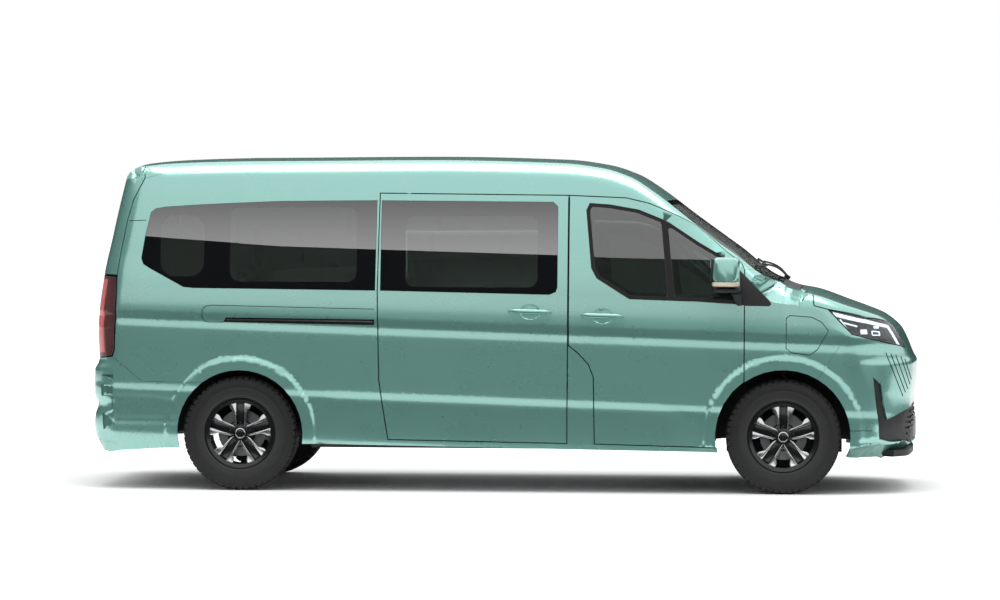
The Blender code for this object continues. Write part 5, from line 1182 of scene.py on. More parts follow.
def dress_panel(node):
    """Make the finely curved panel that stands for a CAD node."""
    bm, outer = skin_of(node)
    refine(bm, outer, sizes().skin_step)
    for outlines, depth, index in carvings(node):
        carve(bm, outer, outlines, depth, index)
        if node == "front_bumper":
            carve(bm, outer, outlines, depth, index, 1)
    settle_outer(bm, outer, relief)
    return finish_skin(bm, node)


def outer_skin(node, step):
    """Return only the outer faces of a node as points, triangles and the distance to their border."""
    bm, outer = skin_of(node)
    refine(bm, outer, step)
    bmesh.ops.delete(bm, geom=[f for f in bm.faces if not f[outer]], context="FACES")
    bm.verts.index_update()
    points = np.array([v.co for v in bm.verts])
    faces = [tuple(v.index for v in f.verts) for f in bm.faces]
    border = np.array([[v.co for v in e.verts] for e in bm.edges if len(e.link_faces) == 1])
    bm.free()
    return points, faces, distance_to_edges(points, border)


def thickened(points, faces, wall, values):
    """Return a closed pane of some thickness under its outer skin, and the values on both sides."""
    normals = outward(points)
    count = len(points)
    back = points - normals * wall
    solid = list(faces) + [tuple(i + count for i in reversed(face)) for face in faces]
    seen = {}
    for face in faces:
        for i, j in zip(face, face[1:] + face[:1]):
            seen[(i, j)] = seen.get((i, j), 0) + 1
    for i, j in list(seen):
        if (j, i) not in seen:
            solid.append((j, i, i + count, j + count))
    return np.concatenate((points, back)), solid, np.concatenate((values, values))


def box_depth(points, spans):
    """Return how deep places lie inside rounded boxes given as x span, z span and corner radius."""
    best = np.full(len(points), -1.0)
    for (x0, x1), (z0, z1), radius in spans:
        centre = np.array(((x0 + x1) / 2, (z0 + z1) / 2))
        half = np.array(((x1 - x0) / 2, (z1 - z0) / 2))
        away = np.abs(points[:, (0, 2)] - centre) - half + radius
        outside = np.linalg.norm(np.maximum(away, 0), axis=1)
        inside = np.minimum(away.max(axis=1), 0)
        best = np.maximum(best, radius - outside - inside)
    return best


def pane_normals(points):
    """Return normals that let a side pane mirror as one even curve, steeper above the mirrored border."""
    normals = outward(points)
    border = np.interp(points[:, 0], *zip(*MIRROR_BORDER))
    rise = np.sin(np.radians(BORDER_TILT + TILT_RATE * (points[:, 2] - border)))
    return np.column_stack((unit(normals[:, :2]) * np.sqrt(1 - rise * rise)[:, None], rise))


def shade_front(made, normals, count):
    """Shade the outer face of a pane by given normals. Its first count points are the outer ones."""
    mesh = made.data
    corners = np.array([loop.vertex_index for loop in mesh.loops])
    current = np.array([n.vector for n in mesh.corner_normals])
    chosen = (corners < count) & (np.sum(current * normals[corners], axis=1) > 0.9)
    current[chosen] = normals[corners][chosen]
    mesh.normals_split_custom_set([tuple(n) for n in current])


def dress_pane(node, kind, finish, wall, step):
    """Make a pane with its printed border in place of a CAD node."""
    points, faces, edge = outer_skin(node, step)
    if kind in CLEAR_BOXES:
        depth = box_depth(points, CLEAR_BOXES[kind])
    else:
        depth = edge - PANE_BORDERS[kind]
    if kind == "front_glass":
        depth = np.minimum(depth, distance_to_line(points[:, (0, 2)], QUARTER_BAR) - BAR_HALF)
    points, faces, depth = thickened(points, faces, wall, depth)
    normals = pane_normals(points)
    if node.startswith("left_"):
        points, faces = other_side(points, faces)
        normals = normals * (1, -1, 1)
    made = add(node + "_pane", points, faces, [finish], body_of_node(node), "glass", nodes=[node])
    if kind in ("side_glass", "sliding_glass", "front_glass"):
        shade_front(made, normals, len(points) // 2)
    store(made, "clear", depth)


def softened(node, finish, slot, width):
    """Make a copy of a CAD node with its edges rounded off and a finish of its own."""
    bm = welded(node)
    bmesh.ops.dissolve_limit(bm, angle_limit=math.radians(1.5), verts=bm.verts, edges=bm.edges)
    round_off(bm, width, 2, 30, clamp_overlap=True)
    mesh = bpy.data.meshes.new(node + "_body")
    bm.to_mesh(mesh)
    bm.free()
    keep(node + "_body", mesh, [finish], body_of_node(node), 40, [node])


# Wheels


def spoke_solids():
    """Return the polished spokes and the dark webs of one wheel, round the origin."""
    bright, dark = [], []
    for number in range(SPOKE_PAIRS):
        turn = math.radians(90 + 360 / SPOKE_PAIRS * number)
        out = np.array((math.cos(turn), math.sin(turn)))
        across = np.array((-out[1], out[0]))
        for side in (-1, 1):
            outline = [tuple(out * r + across * side * t) for t, r in SPOKE_OUTLINE]
            bright.append(eased(prism(outline, SPOKE_FACE, SPOKE_BACK), 0.0018))
        outline = [tuple(out * r + across * t) for t, r in WEB_OUTLINE]
        dark.append(eased(prism(outline, WEB_FACE, SPOKE_BACK), 0.003))
    return bright, dark


def on_wheel(solid):
    """Return a solid grown round an upright axis with that axis laid along Y."""
    vertices, faces = solid
    return cleaned(np.stack((vertices[:, 1], -vertices[:, 2], vertices[:, 0]), axis=1), faces)


def rim_parts():
    """Return the vertices, faces and finish index of a detailed rim round the origin."""
    bright, dark = spoke_solids()
    solid = merged(*bright)
    points = np.array([np.mean([solid[0][i] for i in face], axis=0) for face in solid[1]])
    indices = [0 if p[1] < SPOKE_FACE + 0.0016 else 1 for p in points]
    lip = [(0.196, -RIM_HALF + 0.006), (0.2135, -RIM_HALF + 0.001), (0.2165, -RIM_HALF), (0.2235, -RIM_HALF),
           (0.2252, -RIM_HALF + 0.002), (0.2252, -RIM_HALF + 0.007), (0.2056, -RIM_HALF + 0.0115),
           (0.2056, RIM_HALF - 0.0115), (0.2252, RIM_HALF - 0.007), (0.2252, RIM_HALF), (0.205, RIM_HALF),
           (0.194, 0.070), (0.190, 0.0), (0.188, -0.045), (0.192, -0.060)]
    barrel = cleaned(*turned(lip, 96, True))
    hub = cleaned(*turned([(0, -0.0700), (0.026, -0.0700), (0.050, -0.0690), (0.080, -0.062), (0.088, -0.050),
                           (0.088, -0.035), (0, -0.035)], 60))
    cap = cleaned(*turned([(0, -0.0872), (0.018, -0.0868), (0.0250, -0.0850), (0.0278, -0.0815),
                           (0.0280, -0.068), (0, -0.068)], 48))
    ring = cleaned(*turned([(0.0282, -0.0700), (0.0282, -0.0845), (0.0300, -0.0855), (0.0338, -0.0850),
                            (0.0345, -0.0830), (0.0345, -0.0700)], 48, True))
    disc = cleaned(*turned([(0.075, -0.006), (0.148, -0.006), (0.150, -0.004), (0.150, 0.013), (0.148, 0.015),
                            (0.075, 0.015)], 72, True))
    bell = cleaned(*turned([(0, -0.033), (0.070, -0.033), (0.078, -0.028), (0.078, 0.016), (0, 0.016)], 60))
    nuts = on_wheel(grown(nut_tree, {
        "Count": 5, "Radius": NUT_RING, "Rise": 0.077, "Nut radius": 0.0085, "Nut height": 0.016,
        "Start": 0.0, "Material": FINISHES["chrome"]}))
    vents = on_wheel(grown(ring_tree, {
        "Count": 30, "Radius": 0.1495, "Rise": -0.0045, "Size": (0.006, 0.010, 0.010), "Skew": 0.0,
        "Material": FINISHES["seal"]}))
    others = (merged(*dark), barrel, hub, cap, ring, disc, bell, nuts, vents)
    indices += of_kinds(others, (1, 1, 1, 1, 0, 3, 3, 2, 4))
    vertices, faces = merged(solid, *others)
    return vertices, faces, ["polished", "alloy_black", "chrome", "disc", "seal"], indices


def tyre_parts():
    """Return the vertices and faces of a tyre with its tread blocks, round the origin."""
    right = [(r, -a) for r, a in TYRE_PROFILE]
    left = [(r, a) for r, a in reversed(TYRE_PROFILE[:-1])]
    skin = cleaned(*turned(right + left, 120, True))
    solids = [skin]
    depth = sizes().tread_depth
    for rise, wide, count, skew in TREAD_ROWS:
        for side in ((-1, 1) if rise else (1,)):
            size = (depth, 2 * math.pi * 0.356 / count * 0.80, wide)
            solids.append(on_wheel(grown(ring_tree, {
                "Count": count, "Radius": TYRE_RADIUS - depth / 2 - 0.0002, "Rise": rise * side, "Size": size,
                "Skew": skew * side, "Material": FINISHES["rubber"]})))
    for side in (-1, 1):
        solids.append(on_wheel(grown(ring_tree, {
            "Count": 52, "Radius": 0.3395, "Rise": 0.0945 * side, "Size": (0.026, 0.028, 0.006), "Skew": 0.0,
            "Material": FINISHES["rubber"]})))
    return merged(*solids)


def make_wheels():
    """Make the four rims and tyres."""
    rim, rim_faces, finishes, indices = rim_parts()
    tyre, tyre_faces = tyre_parts()
    reach = np.hypot(tyre[:, 0], tyre[:, 2])
    for where, axle in (("front", FRONT_AXLE), ("rear", REAR_AXLE)):
        for side, turn in (("right", 1), ("left", -1)):
            spot = np.array((axle, -HALF_TRACK * turn, TYRE_RADIUS))
            body = "%s_%s_wheel" % (side, where)
            for kind, vertices, faces, looks, slot, marks in (
                    ("rim", rim, rim_faces, finishes, "alloy", indices),
                    ("tyre", tyre, tyre_faces, ["rubber"], "tyre", None)):
                if turn < 0:
                    vertices, faces = other_side(vertices, faces)
                node = "%s_%s_%s" % (side, where, kind)
                made = add(node + "_wheel", vertices + spot, faces, looks, body, slot, marks, 30, [node])
                if kind == "tyre":
                    store(made, "reach", reach)


# Lamps


def dished(node, step, depth):
    """Return the outer skin of a lamp sunk behind its cover, as a closed solid."""
    points, faces, edge = outer_skin(node, step)
    sunk = depth * ramp(edge, 0.002, 0.010) + 0.0035
    points = points - outward(points) * sunk[:, None]
    solid, faces, _ = thickened(points, faces, 0.004, edge)
    return solid, faces


def make_headlamps():
    """Make the headlamps: cover, housing, light strips and reflectors."""
    for node in ("right_headlamp", "left_headlamp"):
        dress_pane(node, "headlamp", "lamp_pane", LAMP_COVER, sizes().lamp_step)
    housing = dished("right_headlamp", sizes().lamp_step, 0.014)
    both("lamp_housing", *housing, ["lamp_grey"], "shell", "lamp")
    strips = []
    for line, width in LAMP_STRIPS:
        points, normals = on_side(densified(line, 0.012))
        strips.append(strip(points - normals * LAMP_SINK, normals, width, 0.007))
    for (x0, x1), (z0, z1) in LAMP_BLOCKS:
        points, normals = on_side([(x, (z0 + z1) / 2) for x in np.linspace(x0, x1, 4)])
        strips.append(strip(points - normals * LAMP_SINK, normals, z1 - z0, 0.007))
    points, normals = on_side(densified(LAMP_RING + LAMP_RING[:1], 0.01)[:-1])
    strips.append(strip(points - normals * LAMP_SINK, normals, 0.006, 0.008, closed=True))
    both("lamp_strips", *merged(*[cleaned(*s) for s in strips]), ["lamp_white"], "shell", "lamp", angle=40)


def make_tail_lamps():
    """Make the tail lamps: tinted cover, smoked housing and red strip."""
    for node in ("right_tail_lamp", "left_tail_lamp"):
        dress_pane(node, "tail_lamp", "tail_pane", LAMP_COVER, sizes().lamp_step)
    housing = dished("right_tail_lamp", sizes().lamp_step, 0.012)
    both("tail_housing", *housing, ["lamp_smoke"], "shell", "red_lamp")
    rows = []
    for low, high in zip(TAIL_STRIP[:-1], TAIL_STRIP[1:]):
        rows += [(-HALF_WIDTH * (low[0] + (high[0] - low[0]) * t), low[1] + (high[1] - low[1]) * t)
                 for t in np.linspace(0, 1, 8, endpoint=False)]
    for name, inward, width, height in (
            ("tail_strip", 0, 0.034, 0.009), ("tail_strip_inner", 0.052, 0.012, 0.008)):
        points, normals = on_end([(y + inward, z) for y, z in rows], False)
        both(name, *cleaned(*strip(points - normals * 0.013, normals, width, height)), ["lamp_red"], "shell",
             "red_lamp", angle=40)


# Outside fittings


def make_handles():
    """Make the four door handles in their recesses."""
    for panel, x, z in HANDLES:
        rings = []
        for t in np.linspace(-1, 1, 25):
            along = x + t * HANDLE_LENGTH / 2
            bulge = max(0.0, 1 - abs(t) ** 5)
            point, normal = (row[0] for row in on_side([(along, z - 0.003 * t)]))
            lift = 0.002 + 0.030 * bulge
            tall = 0.006 + 0.0085 * bulge
            deep = 0.004 + 0.0065 * bulge
            up = unit(np.array((0.0, 0.0, 1.0)) - normal * normal[2])
            turns = np.arange(12) * 2 * math.pi / 12
            rings.append([point + normal * (lift + deep * math.copysign(abs(math.cos(a)) ** 0.7, math.cos(a)))
                          + up * tall * math.copysign(abs(math.sin(a)) ** 0.7, math.sin(a)) for a in turns])
        body = "{}_door" if panel == "front_door" else "shell"
        both(panel + "_handle", *cleaned(*lofted(rings)), ["paint"], body, "paint", angle=50)


def rounded_ring(y, x_span, z_span, radius, lean=0.0):
    """Return a rounded rectangle in the XZ plane at a place along Y."""
    (x0, x1), (z0, z1) = x_span, z_span
    ring = []
    for cx, cz, start in ((x1 - radius, z1 - radius, 0), (x0 + radius, z1 - radius, 90),
                          (x0 + radius, z0 + radius, 180), (x1 - radius, z0 + radius, 270)):
        for step in range(5):
            a = math.radians(start + 22.5 * step)
            z = cz + radius * math.sin(a)
            ring.append((cx + radius * math.cos(a) + lean * (z - z0), y, z))
    return ring


def make_mirrors():
    """Make the door mirrors: painted cap, indicator, dark base and glass."""
    low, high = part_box("right_mirror")
    near, far = high.y - 0.050, low.y
    span = far - near
    shell_rows = ((0.00, 0.014, 0.012), (0.04, 0.004, 0.020), (0.30, 0.0, 0.030), (0.75, 0.0, 0.036),
                  (0.93, 0.010, 0.036), (1.0, 0.030, 0.030))
    cap, base, lens = [], [], []
    for share, draw, radius in shell_rows:
        y = near + span * share
        cap.append(rounded_ring(y, (1.340 + draw, 1.508 - draw), (1.340, 1.497 - draw), radius, 0.06))
        base.append(rounded_ring(y, (1.346 + draw, 1.520 - draw), (1.276 + draw * 0.6, 1.318), 0.016, 0.0))
        lens.append(rounded_ring(y - 0.0008, (1.343 + draw, 1.516 - draw), (1.316, 1.342), 0.006, 0.0))
    cap, base, lens = (cleaned(*lofted(rings)) for rings in (cap, base, lens))
    foot_rings = []
    for share, z_low, z_high in ((0.0, 1.190, 1.262), (0.45, 1.215, 1.280), (1.0, 1.262, 1.300)):
        y = high.y + (near - 0.03 - high.y) * share
        foot_rings.append(rounded_ring(y, (1.492 - 0.03 * share, 1.532), (z_low, z_high), 0.012))
    foot = cleaned(*lofted(foot_rings))
    glass = eased(box((1.3335, far + 0.030, 1.352), (1.3385, near - 0.016, 1.480)), 0.002)
    bezel = eased(box((1.336, far + 0.024, 1.346), (1.352, near - 0.010, 1.487)), 0.004)
    parts = (cap, base, lens, foot, glass, bezel)
    both("mirror_head", *merged(*parts), ["paint", "moulded", "amber", "mirror_face"], "{}_door",
         "gloss_black", of_kinds(parts, (0, 1, 2, 1, 3, 1)), 40, ["mirror"])


def skin_patch(outline, lift, wall, step=0.02):
    """Return a thin plate on the right side's surface under a convex (x, z) outline."""
    outline = densified(list(outline) + [outline[0]], step)[:-1]
    centre = outline.mean(axis=0)
    rings = [centre + (outline - centre) * share for share in (1.0, 0.985, 0.75, 0.5, 0.25)]
    rises = (lift - wall * 0.6, lift, lift, lift, lift)
    count = len(outline)
    flat = np.concatenate(rings + [centre[None]])
    points, normals = on_side(flat)
    heights = np.concatenate([np.full(count, r) for r in rises] + [[lift]])
    top = points + normals * heights[:, None]
    back, back_normals = on_side(outline)
    back = back - back_normals * (wall - lift)
    vertices = np.concatenate((top, back))
    faces = []
    for ring in range(len(rings) - 1):
        a, b = ring * count, (ring + 1) * count
        faces += [(a + i, a + (i + 1) % count, b + (i + 1) % count, b + i) for i in range(count)]
    last, tip, start = (len(rings) - 1) * count, len(rings) * count, len(top)
    faces += [(last + i, last + (i + 1) % count, tip) for i in range(count)]
    faces += [(start + i, start + (i + 1) % count, (i + 1) % count, i) for i in range(count)]
    faces.append(tuple(start + i for i in reversed(range(count))))
    return cleaned(vertices, faces)


def make_side_trim():
    """Make the dark flank patches and the slider rails."""
    both("flank_patch", *skin_patch(FLANK_PATCH, 0.0025, 0.005), ["moulded"], "shell", "black_plastic")
    line = densified(((-1.752, 1.0835), (-0.812, 1.0735)), 0.04)
    points, normals = on_side(line)
    rail = strip(points - normals * 0.0152, normals, 0.010, 0.004)
    both("slider_rail", *cleaned(*rail), ["steel"], "shell", "steel", angle=40)


def across_line(z, half, forward, count):
    """Return surface points and normals across the nose or tail at one height."""
    return on_end([(y, z) for y in np.linspace(-half, half, count)], forward)


def make_front():
    """Make the grille slats, the blank plates and the lower lip."""
    slats = []
    for z in np.linspace(0.335, 0.545, 7):
        half = 0.50 + 0.10 * (0.55 - z) / 0.2
        points, normals = across_line(z, half, True, 25)
        slats.append(cleaned(*strip(points - normals * 0.0115, normals, 0.012, 0.007)))
    add("grille_slats", *merged(*slats), ["moulded"], "shell", "black_plastic", angle=40)
    for name, z, sign, height, body in (
            ("front_plate", 0.395, 1, 0.012, "shell"), ("rear_plate", 0.715, -1, 0.010, "rear_gate")):
        points, _ = across_line(z, 0.26, sign > 0, 9)
        plate = strip(points, np.tile((sign, 0, 0), (9, 1)), 0.12, height, 0.008)
        add(name, *cleaned(*plate), ["blank_plate"], body, "black_plastic", angle=40)
    points, _ = across_line(0.262, 0.70, True, 31)
    chin = strip(points - np.array((0.03, 0, 0)), np.tile((0, 0, -1.0), (31, 1)), 0.10, 0.030, 0.012)
    add("front_lip", *cleaned(*chin), ["moulded"], "shell", "black_plastic", angle=40)


def make_wipers():
    """Make the windscreen wipers and the rear wiper."""
    solids = []
    for pivot_y, tip_y in ((0.52, -0.10), (-0.08, -0.70)):
        ys = np.linspace(pivot_y - 0.06, tip_y, 22)
        blade_x = 1.655 - 0.05 * np.linspace(0, 1, 22)
        points, normals = on_top(np.stack((blade_x, ys), axis=1))
        solids.append(cleaned(*strip(points + normals * 0.004, normals, 0.008, 0.012)))
        solids.append(cleaned(*strip(points + normals * 0.014, normals, 0.014, 0.005)))
        start, lift = on_top([(1.792, pivot_y)])
        end = points[9] + normals[9] * 0.020
        begin = start[0] + lift[0] * 0.016
        arm = [begin + (end - begin) * t + lift[0] * 0.022 * math.sin(math.pi * t)
               for t in np.linspace(0, 1, 12)]
        solids.append(rope(arm, 0.0065, "moulded"))
        knob = [start[0] + lift[0] * rise for rise in (-0.01, 0.014, 0.026)]
        solids.append(rope(knob, 0.017, "moulded", 16))
    add("screen_wipers", *merged(*solids), ["moulded"], "shell", "black_plastic", angle=40)
    rows = [(y, 1.42 - 0.02 * abs(y)) for y in np.linspace(-0.30, 0.12, 18)]
    points, normals = on_end(rows, False)
    blade = cleaned(*strip(points + normals * 0.004, normals, 0.010, 0.012))
    rows = [(0.12 - 0.20 * t, 1.375 + 0.04 * t) for t in np.linspace(0, 1, 9)]
    points, normals = on_end(rows, False)
    arm = rope(points + normals * 0.018, 0.006, "moulded")
    knob = rope([points[0] - normals[0] * 0.004, points[0] + normals[0] * 0.024], 0.018, "moulded", 16)
    add("rear_wiper", *merged(blade, arm, knob), ["moulded"], "rear_gate", "black_plastic", angle=40)


def rear_bar(z, half, count, width, height):
    """Return a bar across the tail at one height."""
    points, normals = across_line(z, half, False, count)
    return cleaned(*strip(points, normals, width, height, 0.002))


def make_rear():
    """Make the tailgate handle, the high brake light, the bumper step and the reflectors."""
    handle = rear_bar(0.822, 0.21, 15, 0.026, 0.016)
    trim = rear_bar(0.838, 0.24, 15, 0.008, 0.006)
    add("gate_handle", *merged(handle, trim), ["moulded", "chrome"], "rear_gate", "black_plastic",
        of_kinds((handle, trim), (0, 1)), 40)
    add("high_brake_light", *rear_bar(1.948, 0.22, 15, 0.024, 0.008), ["lamp_red"], "rear_gate", "red_lamp",
        angle=40)
    add("bumper_step", *rear_bar(0.560, 0.62, 31, 0.050, 0.005), ["moulded"], "shell", "black_plastic",
        angle=40)
    for side in (-1, 1):
        points, normals = on_end([(side * y, 0.375) for y in np.linspace(0.46, 0.62, 9)], False)
        reflector = cleaned(*strip(points, normals, 0.026, 0.005, 0.002))
        name = "rear_reflector_" + ("right" if side < 0 else "left")
        # The reflectors take the glowing red lamp finish, a painted glow though they are no lamp
        add(name, *reflector, ["lamp_red"], "shell", "red_lamp", angle=40)


# Cabin


def seat_profile(x, shares, shrink=0.0):
    """Return a seat outline in (x, z), drawn in a little round its centre."""
    points = np.array([(x + a * SEAT_LENGTH, FLOOR_TOP + b * SEAT_HEIGHT) for a, b in shares])
    centre = points.mean(axis=0)
    away = points - centre
    length = np.linalg.norm(away, axis=1, keepdims=True)
    return centre + away * (1 - shrink / length)


def remeshed(solids, voxel):
    """Return one even mesh over several closed solids that don't touch."""
    vertices, faces = merged(*solids)
    mesh = bpy.data.meshes.new("pad")
    mesh.from_pydata([tuple(v) for v in vertices], [], faces)
    pad = bpy.data.objects.new("pad", mesh)
    bpy.context.scene.collection.objects.link(pad)
    step = pad.modifiers.new("even", "REMESH")
    step.mode = "VOXEL"
    step.voxel_size = voxel
    graph = bpy.context.evaluated_depsgraph_get()
    result = bpy.data.meshes.new_from_object(pad.evaluated_get(graph), depsgraph=graph)
    bpy.data.objects.remove(pad)
    return result


def swollen(mesh, cap):
    """Return a pad's mesh after cloth under pressure has crowned it, no point moved further than cap."""
    scene = bpy.context.scene
    pad = bpy.data.objects.new("pad", mesh)
    scene.collection.objects.link(pad)
    rest = np.array([v.co for v in mesh.vertices])
    cloth = pad.modifiers.new("cloth", "CLOTH")
    cloth.settings.use_pressure = True
    cloth.settings.uniform_pressure_force = 4
    cloth.settings.effector_weights.gravity = 0
    cloth.settings.quality = 4
    cloth.collision_settings.use_collision = False
    for number in range(1, 21):
        scene.frame_set(number)
    graph = bpy.context.evaluated_depsgraph_get()
    moved = bpy.data.meshes.new_from_object(pad.evaluated_get(graph), depsgraph=graph)
    places = np.array([v.co for v in moved.vertices])
    away = places - rest
    length = np.linalg.norm(away, axis=1, keepdims=True)
    places = rest + away * np.minimum(1, cap / np.maximum(length, 1e-9))
    moved.vertices.foreach_set("co", places.astype(np.float32).ravel())
    moved.update()
    bpy.data.objects.remove(pad)
    scene.frame_set(1)
    return moved


def make_seat(name, share, place_y, width, places):
    """Make a seat or bench with stuffed cushions, backs and head rests on a rigid base."""
    x = float(x_at(share))
    low = place_y - width / 2
    each = width / places
    solids, spans = [], []
    for number in range(places):
        left, right = low + each * number + PLACE_GAP, low + each * (number + 1) - PLACE_GAP
        middle = (left + right) / 2
        solids.append(eased(prism(seat_profile(x, CUSHION_SHARES, 0.016), left, right), 0.028, 3))
        solids.append(eased(prism(seat_profile(x, BACK_SHARES, 0.014), left, right), 0.026, 3))
        solids.append(eased(prism(seat_profile(x, REST_SHARES, 0.010), middle - REST_WIDTH / 2 + 0.012,
                                  middle + REST_WIDTH / 2 - 0.012), 0.022, 3))
        spans.append((left, right))
    mesh = remeshed(solids, sizes().pad_voxel)
    mesh = swollen(mesh, sizes().pad_swell)
    pads = keep(name + "_pads", mesh, ["cloth"], "shell", 180, [name])
    if places == 1:
        more = pads.modifiers.new("smooth", "SUBSURF")
        more.levels = more.render_levels = 1
    tree = BVHTree.FromObject(pads, bpy.context.evaluated_depsgraph_get())
    ropes = []
    for left, right in spans:
        for shares in (CUSHION_SHARES, BACK_SHARES):
            outline = seat_profile(x, shares, 0.004)
            for y in (left + 0.020, right - 0.020):
                path = densified(list(outline) + [outline[0]], 0.03)[:-1]
                laid = [tree.find_nearest(Vector((px, y, pz)))[0] for px, pz in path]
                ropes.append(rope(laid, 0.0035, "piping", 6, True))
    add(name + "_piping", *merged(*ropes), ["piping"], "shell", "seat", angle=60)
    make_seat_base(name, x, low, width, spans)


def make_seat_base(name, x, low, width, spans):
    """Make the rigid base of a seat with its runners, legs, pan and head rest posts."""
    parts = []
    z0 = FLOOR_TOP + 0.0006
    for y in (low + 0.06, low + width - 0.06):
        parts.append(eased(box((x + 0.05, y - 0.022, z0), (x + 0.46, y + 0.022, z0 + 0.030)), 0.004))
        legs = [(x + 0.09, z0 + 0.02), (x + 0.13, z0 + 0.02), (x + 0.17, z0 + 0.31), (x + 0.06, z0 + 0.31)]
        parts.append(eased(prism(legs, y - 0.012, y + 0.012), 0.004))
        legs = [(a + 0.25, b) for a, b in legs]
        parts.append(eased(prism(legs, y - 0.012, y + 0.012), 0.004))
    pan = [(x + 0.03, z0 + 0.285), (x + 0.49, z0 + 0.295), (x + 0.49, z0 + 0.318), (x + 0.03, z0 + 0.306)]
    parts.append(eased(prism(pan, low + 0.03, low + width - 0.03), 0.005))
    frames = len(parts)
    for left, right in spans:
        for y in ((left + right) / 2 - 0.06, (left + right) / 2 + 0.06):
            parts.append(rope([(x - 0.060, y, z0 + 0.86), (x - 0.062, y, z0 + 1.0)], 0.006, "chrome", 10))
    kinds = [0] * frames + [1] * (len(parts) - frames)
    add(name + "_frame", *merged(*parts), ["moulded", "chrome"], "shell", "trim", of_kinds(parts, kinds), 40)


def make_dashboard():
    """Make the dashboard with its screen, vents, hood, console, lever and shelf."""
    softened("dashboard", "dash", "trim", 0.012)
    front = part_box("dashboard")[0].x
    screen = eased(box((front + 0.045, -0.16, 1.065), (front + 0.065, 0.12, 1.215)), 0.006)
    hood = eased(prism([(front + x, z) for x, z in HOOD_OUTLINE], 0.25, 0.59), 0.012)
    console = eased(prism([(front + x, z) for x, z in CONSOLE_OUTLINE], -0.14, 0.10), 0.02)
    lever = rope([(front - 0.03, -0.02, 0.95), (front - 0.07, -0.02, 1.03)], 0.014, "dash", 12)
    shelf = eased(box((front + 0.01, -0.74, 0.985), (front + 0.05, -0.24, 1.005)), 0.006)
    vents = []
    for y in (-0.68, -0.22, 0.17, 0.70):
        points = [(front + 0.018, y, z) for z in np.linspace(1.035, 1.085, 6)]
        vents.append(grown(row_tree, {"Size": (0.016, 0.10, 0.004), "Turn": (0, 0.5, 0),
                                      "Material": FINISHES["moulded"]}, points))
        vents.append(eased(box((front + 0.016, y - 0.062, 1.022), (front + 0.030, y + 0.062, 1.098)), 0.004))
    solids = [merged(hood, console, lever, shelf), screen, merged(*vents)]
    add("dash_fittings", *merged(*solids), ["dash", "screen", "moulded"], "shell", "trim",
        of_kinds(solids, (0, 1, 2)), 40)


def make_steering_wheel():
    """Make the steering wheel's leather rim, spokes, hub and buttons."""
    along = Vector((math.cos(COLUMN_ANGLE), 0, -math.sin(COLUMN_ANGLE)))
    first = Vector((0, 1, 0))
    second = along.cross(first)
    centre = STEERING_CENTRE

    def at(angle, radius, lift=0.0):
        return centre + (first * math.cos(angle) + second * math.sin(angle)) * radius + along * lift

    ring = [at(a, 0.185) for a in np.linspace(0, 2 * math.pi, 72, endpoint=False)]
    parts, kinds = [rope(ring, 0.0145, "leather", 14, True)], [0]
    for angle in (0, math.pi, 1.5 * math.pi):
        line = [at(angle, r, 0.012 * (1 - (r - 0.05) / 0.13)) for r in np.linspace(0.035, 0.178, 9)]
        parts.append(cleaned(*strip(line, np.tile(tuple(-along), (9, 1)), np.linspace(0.055, 0.030, 9), 0.008,
                                    0.008)))
        kinds.append(1)
    hub = [[at(a, r, lift) for a in np.linspace(0, 2 * math.pi, 40, endpoint=False)]
           for r, lift in ((0.040, 0.040), (0.058, 0.030), (0.062, 0.006), (0.056, -0.010), (0.030, -0.016),
                           (0.004, -0.017))]
    parts.append(cleaned(*lofted(hub)))
    kinds.append(1)
    for side in (-1, 1):
        for step in (0.078, 0.096, 0.114):
            spot = at(0 if side > 0 else math.pi, step, -0.006)
            parts.append(rope([spot, spot - along * 0.006], 0.0055, "moulded", 12))
            kinds.append(2)
    add("steering_wheel_rim", *merged(*parts), ["leather", "dash", "chrome"], "steering", "trim",
        of_kinds(parts, kinds), 40, ["steering_wheel"])


# Node, finish, slot and width of its rounded edges
SOFTENED_NODES = (
    ("floor", "carpet", "underbody", 0.004), ("front_bulkhead", "underseal", "underbody", 0.002),
    ("rear_wheelhouses", "underseal", "underbody", 0.002),
    ("front_subframe", "underseal", "underbody", 0.006), ("drive_unit", "cast", "steel", 0.02),
    ("battery_pack", "cast", "underbody", 0.012), ("rear_axle", "underseal", "underbody", 0.004),
    ("right_knuckle", "steel", "steel", 0.002), ("left_knuckle", "steel", "steel", 0.002),
    # The pillars take the dark dash finish: cabin trim inside, and painted shade where they show through the
    # panel gaps
    ("right_pillar", "dash", "paint", 0.003), ("left_pillar", "dash", "paint", 0.003),
    ("lower_grille", "moulded", "black_plastic", 0.0008))


def make_running_gear():
    """Make the underside's parts with rounded edges, ribs, fins and springs."""
    for row in SOFTENED_NODES:
        softened(*row)
    low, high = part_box("battery_pack")
    points = [(x, 0, low.z + 0.001) for x in np.linspace(low.x + 0.12, high.x - 0.12, 9)]
    ribs = grown(row_tree, {"Size": (0.020, high.y - low.y - 0.10, 0.012), "Turn": (0, 0, 0),
                            "Material": FINISHES["cast"]}, points)
    add("battery_ribs", *cleaned(*ribs), ["cast"], "shell", "underbody", angle=40)
    low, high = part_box("drive_unit")
    points = [(x, 0, low.z + (high.z - low.z) / 2) for x in np.linspace(low.x + 0.04, high.x - 0.04, 6)]
    size = (0.008, high.y - low.y + 0.012, (high.z - low.z) * 0.8)
    fins = grown(row_tree, {"Size": size, "Turn": (0, 0, 0), "Material": FINISHES["cast"]}, points)
    add("drive_fins", *cleaned(*fins), ["cast"], "shell", "steel", angle=40)
    for side, name in ((-1, "right"), (1, "left")):
        coil = []
        for t in np.linspace(0, 1, 110):
            turn = t * 6 * 2 * math.pi
            coil.append((REAR_AXLE + 0.12 + 0.055 * math.cos(turn), side * 0.52 + 0.055 * math.sin(turn),
                         0.385 + t * 0.03))
        add(name + "_rear_spring", *rope(coil, 0.0045, "steel", 8), ["steel"], "shell", "steel", angle=60)


# Studio


